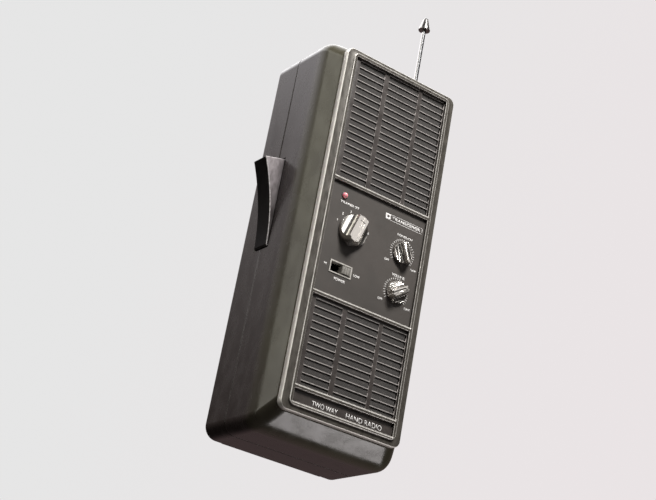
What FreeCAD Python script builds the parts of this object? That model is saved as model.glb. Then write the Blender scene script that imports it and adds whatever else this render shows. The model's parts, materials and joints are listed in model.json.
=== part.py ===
import FreeCAD, Part
import math
import os

# Handheld two-way radio: a tall flat case with two louvred grilles, a control panel with three knobs,
# a slide switch and a lamp, a push-to-talk lever on its left side and a telescopic antenna on top.
#
# Frame: +X to the right and +Z up as the user sees the front, which faces -Y.
# Origin: centre of the flat base of the case, halfway through the depth of the case.
# All lengths are millimetres and all angles are degrees.

V = FreeCAD.Vector

# ---- case ----
case_width = 84.4
case_height = 214.6
case_depth = 56.4
case_corner_radius = 7.0
case_rear_edge_radius = 2.5
border_soft_radius = 14.0     # rounds the change from the sides to the sloping front border
border_depth = 11.2           # the sloping front border, measured front to back
border_side = 6.0             # the same border, measured across the sides
border_top = 6.2
border_base = 9.7
wall = 2.4
front_wall = 2.8
seam_y = 7.4                  # where the front and rear shells meet
seam_lip = 1.2                # alignment lip on the front shell
half_width = case_width / 2
case_front = -case_depth / 2
case_rear = case_depth / 2
border_back = case_front + border_depth
inside_front = case_front + front_wall
inside_rear = case_rear - wall

# ---- bezel on the front of the case ----
bezel_half_width = 36.0
bezel_base_z = 9.9
bezel_top_z = 208.2
bezel_height = 3.4
bezel_corner_radius = 4.0
bezel_edge_radius = 0.8
ridge_half_width = 32.0
ridge_width = 1.8
ridge_height = 1.0            # how far the ridge and dividers stand above the bezel rim
ridge_base_z = 12.9
ridge_top_z = 205.9
ridge_corner_radius = 3.0
divider_height = 2.1
divider_tops = (135.1, 72.5, 23.4)
rim_y = case_front - bezel_height
ridge_y = rim_y - ridge_height
window_half_width = ridge_half_width - ridge_width
window_top = ridge_top_z - ridge_width
window_base = ridge_base_z + ridge_width
inlay_y = -31.0               # front face of the panels set into the bezel

# ---- louvred grilles ----
rib_height = 0.5
louvre_columns = ((-26.9, -10.6), (-7.6, 12.2), (14.7, 29.7))
upper_rib_top = 203.4
upper_rib_pitch = 3.765
upper_rib_count = 18
lower_rib_top = 68.65
lower_rib_pitch = 3.855
lower_rib_count = 12
louvre_depth = 0.6
grille_margin = 0.5
cloth_edge = 0.8

# ---- controls ----
channel_x, channel_z = -13.6, 109.8
squelch_x, squelch_z = 18.7, 109.6
volume_x, volume_z = 18.7, 88.0
channel_angle = 18.0          # where each pointer stands, clockwise from straight up
squelch_angle = -25.0
volume_angle = 56.0
channel_knob_radius = 8.3
channel_knob_height = 6.2
channel_bar_width = 5.8
small_knob_radius = 5.9
small_knob_height = 4.8
small_bar_width = 3.1
knob_gap = 0.4
knob_taper = 0.1              # of the radius
knob_front_wall = 1.2         # between the shaft bore and the front of the knob
scoop_ratio = 0.84            # radius of the scooped flanks, of the knob's height
shaft_clearance = 0.06
channel_shaft_radius = 2.0
channel_bush_radius = 3.2
channel_nut_flats = 9.0
pot_shaft_radius = 1.6
pot_bush_radius = 2.6
pot_nut_flats = 7.0
nut_thickness = 2.0
nut_clearance = 0.4
bush_front = -30.8
channel_switch_radius = 12.0
channel_switch_depth = 12.0
channel_shaft_reach = 9.0
pot_radius = 8.0
pot_depth = 9.0
pot_shaft_reach = 6.0

# ---- power slide switch ----
slide_x, slide_z = -16.3, 87.9
slide_frame = (13.4, 6.6)
slide_opening = (12.2, 5.4)
slide_button = (5.4, 4.0)
slide_button_x = -13.2
slide_proud = 1.2
slide_flange = 0.35
slide_sleeve = 0.4
slide_groove_pitch = 1.5
slide_stem_half = (1.5, 1.2)
slide_can = (16.0, 8.0)
slide_can_depth = 6.0

# ---- lamp ----
lamp_x, lamp_z = -21.6, 126.7
lamp_radius = 1.5
lamp_holder_radius = 2.6

# ---- push-to-talk lever ----
lever_y0, lever_y1 = 1.25, 13.3
lever_slot_gap = 0.7
lever_top_z = 148.5
lever_slot_top = 149.4
lever_slot_base = 97.9
lever_tip = (-53.5, 145.8)     # the hollow outer edge runs from the tip through the waist to the foot
lever_waist = (-45.9, 122.8)
lever_foot = (-42.9, 99.3)
lever_base_z = 98.4
lever_root = 0.9              # how far the lever reaches in beyond the wall
lever_lip_height = 2.6
lever_boss_radius = 2.4
lever_pivot = (-38.6, 101.5)
lever_pin_radius = 1.0

# ---- push-to-talk bracket, switch and spring ----
bracket_sheet = 1.4
bracket_y0, bracket_y1 = -0.9, 15.4
bracket_web_x = -29.2
bracket_web_sheet = 1.0
bracket_tall_x = -38.6
bracket_low_x = (-39.4, -32.2)
bracket_z = (98.4, 114.0, 150.0)    # foot of the low cheeks, foot of the web, top
bracket_post_x = -35.6
bracket_post_z = (109.5, 146.5)
bracket_post_radius = 2.2
bracket_peg_radius = 1.0
ptt_switch_x = -34.9
ptt_switch_y = (3.8, 10.8)
ptt_switch_z = (127.0, 140.0)
spring_y, spring_z = 7.3, 119.5
spring_radius = 2.2
spring_wire = 0.3
spring_turns = 5.5

# ---- antenna ----
antenna_x, antenna_y = 29.3, 0.0
antenna_base_z = 24.0
antenna_top_z = 217.4
antenna_outer_radius = 4.0
antenna_wall = 0.38
antenna_gap = 0.07
antenna_sections = 5
section_step = 0.5            # each section stands this much above the one around it
rod_radius = 1.15
rod_length = 190.0
tip_base_z = 261.6
tip_height = 8.0
tip_base_radius = 3.4
tip_top_radius = 1.5
tip_socket = 2.5              # how far the rod reaches into the tip
bush_radius = 4.8
bush_neck = 4.0
bush_flange_radius = 6.5
bush_flange_height = 1.6
clamp_half_x = 6.5
clamp_half_y = 6.0
clamp_half_z = 4.0
clamp_z = 29.0
clamp_post_radius = 3.0

# ---- speaker and microphone ----
speaker_z = 169.7
speaker_radius = 28.5
speaker_opening = 26.0
microphone_z = 47.0
microphone_radius = 9.0
microphone_opening = 6.0
microphone_cup_wall = 1.6

# ---- circuit board ----
board_half_width = 31.5
board_z0, board_z1 = 62.0, 203.0
board_y0, board_y1 = -6.2, -4.6
board_screw_x = 21.0
board_screw_z = (66.0, 200.0)
board_screw_radius = 1.2
board_screw_head = 2.2
board_post_radius = 2.6

# ---- components on the board ----
crystal_rows = (158.0, 144.0)
crystal_columns = 6
crystal_first_x = -24.0
crystal_pitch = 7.4
crystal_size = (3.8, 11.0, 10.0)
crystal_corner = 1.2
crystal_socket_x = (-27.6, 16.8)
crystal_socket_half_z = 5.6
crystal_socket_height = 3.0
coil_can_first_x = -24.0
coil_can_pitch = 8.6
coil_can_z = 176.0
coil_can_half = 3.5
coil_can_height = 10.0
capacitor_radii = (4.0, 3.2, 4.0, 2.6, 3.2)
capacitor_first_x = -22.0
capacitor_pitch = 10.5
capacitor_z = 190.0
capacitor_height = 9.0
loading_coil_x = -22.0
loading_coil_lift = 4.2
loading_coil_z = (92.0, 112.0)
loading_coil_turns = 12
loading_coil_pitch = 1.25

# ---- battery bay ----
cell_radius = 7.05
cell_pitch = 14.6
cell_columns = 4
cell_length = 50.0
cell_floors = (6.6, 57.6)
tray_z0, tray_z1 = 4.0, 112.0
tray_half_width = 30.6
tray_y0, tray_y1 = 8.9, 24.3
tray_wall = 1.2
contact_half = 4.5
contact_sheet = 0.35
cell_y = tray_y1 - 0.1 - cell_radius
door_half_width = 31.0
door_height = 110.0
door_thickness = 2.0
door_tongue = 1.2
door_tongue_thickness = 0.8
door_gap = 0.2
door_opening_half = 29.4
door_ledge_margin = 3.0
grip_count = 5
grip_pitch = 3.0
grip_base_z = 14.0
grip_height = 1.2
grip_depth = 0.7
grip_half_width = 9.0

# ---- screws ----
case_screw_x = 37.0
case_screw_z = (7.6, 207.0)
case_screw_radius = 1.3
case_screw_head = 2.5
case_screw_recess = 1.5
case_post_radius = 2.7


def box(x0, x1, y0, y1, z0, z1):
    """A block between two opposite corners."""
    return Part.makeBox(x1 - x0, y1 - y0, z1 - z0, V(x0, y0, z0))


def rod_x(y, z, x0, x1, radius):
    """A round bar along X."""
    return Part.makeCylinder(radius, x1 - x0, V(x0, y, z), V(1, 0, 0))


def rod_y(x, z, y0, y1, radius):
    """A round bar along Y."""
    return Part.makeCylinder(radius, y1 - y0, V(x, y0, z), V(0, 1, 0))


def rod_z(x, y, z0, z1, radius):
    """A round bar along Z."""
    return Part.makeCylinder(radius, z1 - z0, V(x, y, z0), V(0, 0, 1))


def tube_z(x, y, z0, z1, outer, inner):
    """A round tube along Z."""
    return rod_z(x, y, z0, z1, outer).cut(rod_z(x, y, z0 - 1, z1 + 1, inner))


def cone_y(x, z, y0, y1, r0, r1):
    """A round taper along Y, of radius r0 at y0 and r1 at y1."""
    return Part.makeCone(r0, r1, y1 - y0, V(x, y0, z), V(0, 1, 0))


def hex_y(x, z, y0, y1, flats):
    """A hexagonal bar along Y."""
    corner = flats / math.sqrt(3)
    points = []
    for side in range(7):
        angle = math.radians(60 * side)
        points.append(V(x + corner * math.cos(angle), y0, z + corner * math.sin(angle)))
    return Part.Face(Part.makePolygon(points)).extrude(V(0, y1 - y0, 0))


def fuse_all(shapes):
    """One solid from overlapping or touching pieces."""
    result = shapes[0]
    for shape in shapes[1:]:
        result = result.fuse(shape)
    return result.removeSplitter()


def cut_all(shape, tools):
    """The shape less every tool."""
    for tool in tools:
        shape = shape.cut(tool)
    return shape


def rounded_outline(half_x, z0, z1, radius, y):
    """A closed rectangle with round corners, standing in the plane of the given y."""
    quarter = radius * (1 - math.sqrt(0.5))
    corners = (
        (half_x, z1, -1, -1),
        (-half_x, z1, 1, -1),
        (-half_x, z0, 1, 1),
        (half_x, z0, -1, 1),
    )
    ends = []
    for index, (x, z, inward_x, inward_z) in enumerate(corners):
        on_side = V(x, y, z + inward_z * radius)
        on_end = V(x + inward_x * radius, y, z)
        middle = V(x + inward_x * quarter, y, z + inward_z * quarter)
        pair = (on_side, on_end) if index % 2 == 0 else (on_end, on_side)
        ends.append((pair[0], middle, pair[1]))
    edges = []
    for index, (start, middle, end) in enumerate(ends):
        edges.append(Part.Arc(start, middle, end).toShape())
        following = ends[(index + 1) % len(ends)][0]
        edges.append(Part.makeLine(end, following))
    return Part.Wire(edges)


def rounded_prism(half_x, z0, z1, radius, y0, y1):
    """A rounded rectangle carried from y0 to y1."""
    outline = rounded_outline(half_x, z0, z1, radius, y0)
    return Part.Face(outline).extrude(V(0, y1 - y0, 0))


def turned(profile, x, z):
    """A solid of revolution about the Y direction through (x, z), from (radius, y) points."""
    points = [V(x + radius, y, z) for radius, y in profile]
    points.append(points[0])
    face = Part.Face(Part.makePolygon(points))
    return face.revolve(V(x, 0, z), V(0, 1, 0), 360)


def case_form(inset, front_y, rear_y):
    """The outer form of the case, or the same form moved inwards by inset on its sides and border."""
    border_y = border_back + inset / 4
    full = (half_width - inset, inset, case_height - inset, case_corner_radius - inset / 2)
    narrow_x = half_width - border_side - inset * 0.9
    narrow_z0 = border_base + inset * 0.9
    narrow_z1 = case_height - border_top - inset * 0.9
    front = rounded_outline(narrow_x, narrow_z0, narrow_z1, case_corner_radius - inset / 2, front_y)
    middle = rounded_outline(*full, border_y)
    border = Part.makeLoft([front, middle], True, True)
    body = rounded_prism(*full, border_y, rear_y)
    return border.fuse(body)


def edges_in_plane(shape, y):
    """The edges of a shape that lie wholly in the plane of the given y."""
    found = []
    for edge in shape.Edges:
        bounds = edge.BoundBox
        if abs(bounds.YMin - y) < 0.01 and abs(bounds.YMax - y) < 0.01:
            found.append(edge)
    return found


def outer_case():
    """The whole outside of the case, with its border softened and its rear edges rounded."""
    form = case_form(0.0, case_front, case_rear)
    form = form.makeFillet(border_soft_radius, edges_in_plane(form, border_back))
    return form.makeFillet(case_rear_edge_radius, edges_in_plane(form, case_rear))


def seam_block(y0, y1):
    """A block larger than the case, used to divide it along the seam."""
    return box(-half_width - 20, half_width + 20, y0, y1, -20, case_height + 20)


def lever_slot():
    """The opening in the left wall for the push-to-talk lever."""
    y0 = lever_y0 - lever_slot_gap
    y1 = lever_y1 + lever_slot_gap
    return box(-half_width - 1, -half_width + wall + 0.6, y0, y1, lever_slot_base, lever_slot_top)


def screw_places():
    """The four corners where the shells are screwed together."""
    return [(side * case_screw_x, z) for side in (-1, 1) for z in case_screw_z]


def slide_block(size, margin, y0, y1):
    """A block centred on the slide switch, of the given (width, height) and margin."""
    half_x = size[0] / 2 + margin
    half_z = size[1] / 2 + margin
    return box(slide_x - half_x, slide_x + half_x, y0, y1, slide_z - half_z, slide_z + half_z)


def front_openings():
    """Everything that passes through the front wall."""
    y0 = case_front - 1
    y1 = inside_front + 1
    return [
        rod_y(0, speaker_z, y0, y1, speaker_opening),
        rod_y(0, microphone_z, y0, y1, microphone_opening),
        rod_y(channel_x, channel_z, y0, y1, channel_bush_radius),
        rod_y(squelch_x, squelch_z, y0, y1, pot_bush_radius),
        rod_y(volume_x, volume_z, y0, y1, pot_bush_radius),
        rod_y(lamp_x, lamp_z, y0, y1, lamp_holder_radius),
        slide_block(slide_opening, 0.0, y0, y1),
    ]


def front_posts():
    """Posts inside the front shell for the case screws, board, lever bracket and antenna clamp."""
    solid_from = case_front + 1.0
    posts = []
    for x, z in screw_places():
        posts.append(rod_y(x, z, solid_from, seam_y, case_post_radius))
    for side in (-1, 1):
        for z in board_screw_z:
            posts.append(rod_y(side * board_screw_x, z, solid_from, board_y0, board_post_radius))
    for z in bracket_post_z:
        posts.append(rod_y(bracket_post_x, z, solid_from, bracket_y0, bracket_post_radius))
        peg_y1 = bracket_y0 + bracket_sheet - 0.1
        posts.append(rod_y(bracket_post_x, z, bracket_y0 - 1, peg_y1, bracket_peg_radius))
    posts.append(rod_y(antenna_x, clamp_z, solid_from, -clamp_half_y, clamp_post_radius))
    return posts


def make_front_case():
    """The deep front shell, with its posts and openings."""
    outside = outer_case()
    cavity = case_form(wall, inside_front, inside_rear)
    shell = outside.cut(cavity).common(seam_block(case_front - 1, seam_y))
    lip_outer = case_form(wall * 0.5 + 0.1, inside_front, inside_rear)
    lip_inner = case_form(wall * 0.5 + 1.1, inside_front, inside_rear)
    lip_band = seam_block(seam_y - 3, seam_y + seam_lip)
    lip = lip_outer.cut(lip_inner).common(lip_band)
    posts = [post.common(outside) for post in front_posts()]
    shell = fuse_all([shell, lip] + posts)
    holes = front_openings()
    holes.append(lever_slot())
    holes.append(rod_z(antenna_x, antenna_y, case_height - wall - 1, case_height + 1, bush_radius))
    for x, z in screw_places():
        holes.append(rod_y(x, z, -8, seam_y + 3, case_screw_radius))
    for side in (-1, 1):
        for z in board_screw_z:
            holes.append(rod_y(side * board_screw_x, z, board_y0 - 8, board_y0 + 1, board_screw_radius))
    return cut_all(shell, holes)


def door_form(gap):
    """The battery door with its two side tongues; gap enlarges it for the recess that holds it."""
    half = door_half_width + gap
    top = door_height + gap
    plate = box(-half, half, case_rear - door_thickness - gap, case_rear + 5, -5, top)
    tongue_y0 = case_rear - door_thickness + 0.4 - gap
    tongue_y1 = tongue_y0 + door_tongue_thickness + 2 * gap
    tongues = box(-half - door_tongue, half + door_tongue, tongue_y0, tongue_y1, -5, top)
    return plate.fuse(tongues)


def make_rear_case():
    """The rear shell: bosses for the screws, a ledge and grooves for the battery door."""
    outside = outer_case()
    cavity = case_form(wall, inside_front, inside_rear)
    ledge_y0 = tray_y1 + door_gap
    ledge_half = door_half_width + door_ledge_margin
    ledge = box(-ledge_half, ledge_half, ledge_y0, case_rear, wall / 2, door_height + 4)
    shell = outside.cut(cavity).fuse(ledge.common(outside))
    shell = shell.common(seam_block(seam_y, case_rear + 1))
    rebate = case_form(wall * 0.5, inside_front, inside_rear)
    shell = shell.cut(rebate.common(seam_block(seam_y - 1, seam_y + seam_lip + 0.1)))
    bosses = [rod_y(x, z, seam_y, case_rear - 1, case_post_radius) for x, z in screw_places()]
    shell = fuse_all([shell] + [boss.common(outside) for boss in bosses])
    opening = box(-door_opening_half, door_opening_half, ledge_y0 - 1, case_rear + 1,
                  5.0, door_height - door_ledge_margin)
    holes = [door_form(door_gap), opening, lever_slot()]
    for x, z in screw_places():
        holes.append(rod_y(x, z, seam_y - 1, case_rear, case_screw_radius + 0.1))
        holes.append(rod_y(x, z, case_rear - case_screw_recess, case_rear + 1, case_screw_head + 0.2))
    shell = cut_all(shell, holes)
    lip_room = case_form(wall * 0.5 + 1.2, inside_front, inside_rear)
    lip_space = rebate.cut(lip_room).common(seam_block(seam_y - 1, seam_y + seam_lip + 0.1))
    return shell.cut(lip_space)


def make_battery_door():
    """The sliding door: part of the rear face, with tongues at its sides and a row of grip grooves."""
    door = door_form(0.0).common(outer_case())
    grooves = []
    for index in range(grip_count):
        z = grip_base_z + grip_pitch * index
        grooves.append(box(-grip_half_width, grip_half_width, case_rear - grip_depth, case_rear + 1,
                           z, z + grip_height))
    return cut_all(door, grooves)


def make_case_screws():
    """Four cheese-head screws that hold the shells together, with slotted heads."""
    screws = []
    for x, z in screw_places():
        head = rod_y(x, z, case_rear - case_screw_recess, case_rear - 0.3, case_screw_head)
        shank = rod_y(x, z, -6, case_rear - case_screw_recess, case_screw_radius - 0.03)
        slot = box(x - 3, x + 3, case_rear - 0.9, case_rear, z - 0.35, z + 0.35)
        screws.append(head.fuse(shank).cut(slot))
    return screws


def divider_windows():
    """The four windows between the ridge and its dividers, as (base, top) heights."""
    upper, middle, lower = divider_tops
    return (
        (upper, window_top),
        (middle, upper - divider_height),
        (lower, middle - divider_height),
        (window_base, lower - divider_height),
    )


def make_bezel_frame():
    """The raised front frame: a flat rim, a ridge inside it and three dividers."""
    rim = rounded_prism(bezel_half_width, bezel_base_z, bezel_top_z, bezel_corner_radius, rim_y, case_front)
    rim = rim.makeFillet(bezel_edge_radius, edges_in_plane(rim, rim_y))
    ridge = rounded_prism(
        ridge_half_width, ridge_base_z, ridge_top_z, ridge_corner_radius, ridge_y, rim_y + 1
    )
    ridge = ridge.makeFillet(0.3, edges_in_plane(ridge, ridge_y))
    frame = rim.fuse(ridge)
    windows = []
    for z0, z1 in divider_windows():
        windows.append(box(-window_half_width, window_half_width, ridge_y - 1, case_front + 1, z0, z1))
    return cut_all(frame, windows)


def make_grille(window, first_rib, pitch, count):
    """A louvred grille: one slot under each rib in three columns, and a recess behind for the cloth."""
    z0, z1 = window
    plate = box(-window_half_width, window_half_width, inlay_y, case_front, z0, z1)
    slots = []
    for row in range(count):
        rib = first_rib - row * pitch
        slot_top = rib - rib_height / 2
        slot_base = max(rib - pitch + rib_height / 2, z0 + grille_margin)
        for x0, x1 in louvre_columns:
            slots.append(box(x0, x1, inlay_y - 1, case_front + 1, slot_base, slot_top))
    edge = window_half_width - cloth_edge
    recess = box(-edge, edge, inlay_y + louvre_depth, case_front + 1, z0 + cloth_edge / 2, z1 - cloth_edge)
    return plate.cut(Part.makeCompound(slots)).cut(recess)


def make_cloth(window):
    """The cloth-faced foam pad that lies in the recess behind a grille."""
    z0, z1 = window
    edge = window_half_width - cloth_edge
    return box(-edge, edge, inlay_y + louvre_depth, case_front, z0 + cloth_edge / 2, z1 - cloth_edge)


def make_control_panel():
    """The flat control panel, with clear holes for the nuts, the lamp and the switch."""
    z0, z1 = divider_windows()[1]
    plate = box(-window_half_width, window_half_width, inlay_y, case_front, z0, z1)
    y0 = inlay_y - 1
    y1 = case_front + 1
    holes = [
        rod_y(channel_x, channel_z, y0, y1, channel_nut_flats / math.sqrt(3) + nut_clearance),
        rod_y(squelch_x, squelch_z, y0, y1, pot_nut_flats / math.sqrt(3) + nut_clearance),
        rod_y(volume_x, volume_z, y0, y1, pot_nut_flats / math.sqrt(3) + nut_clearance),
        rod_y(lamp_x, lamp_z, y0, y1, lamp_radius + 0.05),
        slide_block(slide_opening, slide_sleeve, y0, y1),
    ]
    return cut_all(plate, holes)


def make_label_strip():
    """The plain strip at the foot of the bezel."""
    z0, z1 = divider_windows()[3]
    return box(-window_half_width, window_half_width, inlay_y, case_front, z0, z1)


def make_knob(x, z, radius, height, bar_width, angle, bore_radius):
    """A knob with a flat-topped pointer bar between two scooped flanks, over a low round skirt."""
    base_y = inlay_y - knob_gap
    top_y = base_y - height
    body = cone_y(0, 0, top_y, base_y, radius * (1 - knob_taper), radius)
    scoop_radius = height * scoop_ratio
    scoop_x = bar_width / 2 + scoop_radius * 0.99
    axis_y = top_y - scoop_radius * 0.14
    scoops = []
    for side in (-1, 1):
        scoops.append(rod_z(side * scoop_x, axis_y, -2 * radius, 2 * radius, scoop_radius))
        outer_edge = side * (scoop_x + 2 * radius)
        low = min(side * scoop_x, outer_edge)
        high = max(side * scoop_x, outer_edge)
        scoops.append(box(low, high, top_y - 3, axis_y + scoop_radius, -2 * radius, 2 * radius))
    line = box(-0.25, 0.25, top_y - 1, top_y + 0.3, radius * 0.2, radius)
    bore = rod_y(0, 0, top_y + knob_front_wall, base_y + 1, bore_radius)
    knob = cut_all(body, scoops + [line, bore])
    knob.rotate(V(0, 0, 0), V(0, 1, 0), angle)
    knob.translate(V(x, 0, z))
    return knob


def make_shaft(x, z, radius, knob_height, inner_y):
    """The round spindle that a knob is pressed on."""
    return rod_y(x, z, inlay_y - knob_gap - knob_height + knob_front_wall, inner_y, radius)


def make_rotary_body(x, z, radius, depth, thread_radius, shaft_radius, lug_count):
    """A rotary control behind the front wall: round can, threaded bush and a row of solder lugs."""
    can = rod_y(x, z, inside_front, inside_front + depth, radius)
    bush = rod_y(x, z, bush_front, inside_front + 1, thread_radius)
    parts = [can, bush]
    lug_y = inside_front + depth - 2.4
    for index in range(lug_count):
        lug_x = x + (index - (lug_count - 1) / 2) * 3.2
        parts.append(box(lug_x - 0.7, lug_x + 0.7, lug_y, lug_y + 0.6, z - radius - 3.0, z - radius + 2.5))
    bore = rod_y(x, z, bush_front - 1, inside_front + depth - 2, shaft_radius + shaft_clearance)
    return fuse_all(parts).cut(bore)


def make_control_nuts():
    """The hexagonal nuts that clamp the three rotary controls to the front wall."""
    nuts = []
    places = (
        (channel_x, channel_z, channel_nut_flats, channel_bush_radius),
        (squelch_x, squelch_z, pot_nut_flats, pot_bush_radius),
        (volume_x, volume_z, pot_nut_flats, pot_bush_radius),
    )
    for x, z, flats, hole in places:
        nut = hex_y(x, z, case_front - nut_thickness, case_front, flats)
        nuts.append(nut.cut(rod_y(x, z, case_front - 5, case_front + 1, hole)))
    return nuts


def make_switch_frame():
    """The thin raised frame around the slide switch, with a sleeve through the panel."""
    flange = slide_block(slide_frame, 0.0, inlay_y - slide_flange, inlay_y)
    sleeve = slide_block(slide_opening, slide_sleeve, inlay_y, case_front)
    hole = slide_block(slide_opening, 0.0, inlay_y - 1, case_front + 1)
    return fuse_all([flange, sleeve]).cut(hole)


def make_slider():
    """The sliding button, with finger ridges and a stem that reaches into the switch."""
    half_x, half_z = slide_button[0] / 2, slide_button[1] / 2
    front_y = inlay_y - slide_proud
    button = box(slide_button_x - half_x, slide_button_x + half_x, front_y, inside_front - 0.4,
                 slide_z - half_z, slide_z + half_z)
    stem_x, stem_z = slide_stem_half
    stem = box(slide_button_x - stem_x, slide_button_x + stem_x, inside_front - 1, inside_front + 3.6,
               slide_z - stem_z, slide_z + stem_z)
    grooves = []
    for index in range(3):
        x = slide_button_x + (index - 1) * slide_groove_pitch
        grooves.append(box(x - 0.3, x + 0.3, front_y - 1, front_y + 0.35, slide_z - 3, slide_z + 3))
    return cut_all(fuse_all([button, stem]), grooves)


def make_switch_body():
    """The metal can of the slide switch, with the slot that its slider runs in and solder lugs."""
    can = slide_block(slide_can, 0.0, inside_front, inside_front + slide_can_depth)
    slot = box(slide_x - 6.3, slide_x + 6.3, inside_front - 1, inside_front + 4, slide_z - 1.6, slide_z + 1.6)
    parts = [can]
    for index in range(6):
        x = slide_x + (index // 2 - 1) * 5
        z = slide_z + (index % 2 - 0.5) * 4
        parts.append(box(x - 0.5, x + 0.5, inside_front + 5, inside_front + 9, z - 0.3, z + 0.3))
    return fuse_all(parts).cut(slot)


def make_lamp():
    """The indicator lamp: a domed lens with a flange behind the wall and two leads."""
    stem = rod_y(lamp_x, lamp_z, inlay_y - 0.2, inside_front + 1.5, lamp_radius)
    dome = Part.makeSphere(lamp_radius, V(lamp_x, inlay_y - 0.2, lamp_z))
    flange = rod_y(lamp_x, lamp_z, inside_front + 0.2, inside_front + 1.2, lamp_radius + 0.7)
    leads = []
    for side in (-1, 1):
        leads.append(rod_y(lamp_x + side * 0.9, lamp_z, inside_front + 1, board_y0, 0.25))
    return fuse_all([stem, dome, flange] + leads)


def make_lamp_holder():
    """The soft ring that grips the lamp in the front wall."""
    ring = rod_y(lamp_x, lamp_z, case_front, inside_front + 0.2, lamp_holder_radius)
    return ring.cut(rod_y(lamp_x, lamp_z, case_front - 1, inside_front + 1, lamp_radius))


def make_ptt_lever():
    """The push-to-talk lever: a wedge with a hollow outer edge, a stop lip and a pivot boss."""
    tip, waist, foot = [V(x, lever_y0, z) for x, z in (lever_tip, lever_waist, lever_foot)]
    inner_x = -half_width + wall + lever_root
    corners = [
        foot,
        V(-half_width + 0.6, lever_y0, lever_base_z),
        V(inner_x, lever_y0, lever_base_z),
        V(inner_x, lever_y0, lever_top_z),
        V(-half_width, lever_y0, lever_top_z),
        tip,
    ]
    outline = [Part.Arc(tip, waist, foot).toShape()]
    for start, end in zip(corners, corners[1:]):
        outline.append(Part.makeLine(start, end))
    wedge = Part.Face(Part.Wire(outline)).extrude(V(0, lever_y1 - lever_y0, 0))
    lip_x = -half_width + wall + 0.1
    lip = box(lip_x, inner_x, lever_y0, lever_y1, lever_top_z - 3, lever_top_z + lever_lip_height)
    boss = rod_y(*lever_pivot, lever_y0, lever_y1, lever_boss_radius)
    bore = rod_y(*lever_pivot, lever_y0 - 1, lever_y1 + 1, lever_pin_radius + shaft_clearance)
    return fuse_all([wedge, lip, boss]).cut(bore)


def make_ptt_pin():
    """The pivot pin of the lever, held in the two cheeks of the bracket."""
    return rod_y(*lever_pivot, bracket_y0, bracket_y1, lever_pin_radius)


def make_ptt_bracket():
    """A folded bracket: two cheeks that carry the pin, and a web that carries the switch."""
    foot_z, middle_z, top_z = bracket_z
    web_back = bracket_web_x + bracket_web_sheet
    web = box(bracket_web_x, web_back, bracket_y0, bracket_y1, middle_z, top_z)
    cheeks = []
    for y0 in (bracket_y0, bracket_y1 - bracket_sheet):
        tall = box(bracket_tall_x, web_back, y0, y0 + bracket_sheet, middle_z, top_z)
        low = box(*bracket_low_x, y0, y0 + bracket_sheet, foot_z, middle_z)
        cheeks.append(tall.fuse(low))
    bracket = fuse_all([web] + cheeks)
    holes = [rod_y(*lever_pivot, bracket_y0 - 1, bracket_y1 + 1, lever_pin_radius)]
    for z in bracket_post_z:
        hole_y1 = bracket_y0 + bracket_sheet + 0.2
        holes.append(rod_y(bracket_post_x, z, bracket_y0 - 1, hole_y1, bracket_peg_radius + 0.05))
    return cut_all(bracket, holes)


def make_ptt_switch():
    """The small snap switch on the bracket, with its plunger and three tags."""
    z0, z1 = ptt_switch_z
    body = box(ptt_switch_x, bracket_web_x, *ptt_switch_y, z0, z1)
    plunger = rod_x(spring_y, z1 - 4, ptt_switch_x - 0.6, ptt_switch_x + 1, 0.9)
    parts = [body, plunger]
    for z in (z0 + 2, z0 + 6.5, z0 + 11):
        parts.append(box(bracket_web_x - 3, bracket_web_x - 2.4, 10.6, 13.4, z - 0.8, z + 0.8))
    return fuse_all(parts)


def make_ptt_spring():
    """The return spring: a coil between the bracket web and the inside of the lever."""
    start_x = -half_width + wall + lever_root + 0.05
    height = bracket_web_x - start_x - 2 * spring_wire
    helix = Part.makeHelix(height / spring_turns, height, spring_radius)
    profile = Part.Wire(Part.makeCircle(spring_wire, V(spring_radius, 0, 0), V(0, 1, 0)))
    coil = Part.Wire(helix.Edges).makePipeShell([profile], True, True)
    coil.rotate(V(0, 0, 0), V(0, 1, 0), 90)
    coil.translate(V(start_x + spring_wire, spring_y, spring_z))
    return coil


def make_antenna_bush():
    """The insulating collar that carries the antenna through the top of the case."""
    neck = rod_z(antenna_x, antenna_y, case_height - wall - bush_neck, case_height, bush_radius)
    flange = rod_z(antenna_x, antenna_y, case_height, case_height + bush_flange_height, bush_flange_radius)
    bore = rod_z(antenna_x, antenna_y, case_height - 20, case_height + 9, antenna_outer_radius)
    return fuse_all([neck, flange]).cut(bore)


def section_radius(index):
    """The outer radius of an antenna section; section 0 is the fixed tube."""
    return antenna_outer_radius - index * (antenna_wall + antenna_gap)


def make_antenna_section(index):
    """One tube of the telescopic antenna, closed in by the tube around it."""
    outer = section_radius(index)
    inner = outer - antenna_wall
    if index == antenna_sections:
        inner = rod_radius + antenna_gap
    z0 = antenna_base_z + 1.5 * index
    z1 = antenna_top_z + section_step * index
    return tube_z(antenna_x, antenna_y, z0, z1, outer, inner)


def make_antenna_rod():
    """The solid top rod of the antenna."""
    top_z = tip_base_z + tip_socket
    return rod_z(antenna_x, antenna_y, top_z - rod_length, top_z, rod_radius)


def make_antenna_tip():
    """The flared button at the end of the rod."""
    flare = Part.makeCone(tip_base_radius, tip_top_radius, tip_height, V(antenna_x, antenna_y, tip_base_z))
    return flare.cut(rod_z(antenna_x, antenna_y, tip_base_z - 1, tip_base_z + tip_socket, rod_radius))


def make_antenna_clamp():
    """The block that holds the foot of the antenna tube to its post."""
    block = box(antenna_x - clamp_half_x, antenna_x + clamp_half_x, -clamp_half_y, clamp_half_y,
                clamp_z - clamp_half_z, clamp_z + clamp_half_z)
    return block.cut(rod_z(antenna_x, antenna_y, clamp_z - 5, clamp_z + 5, antenna_outer_radius))


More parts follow.
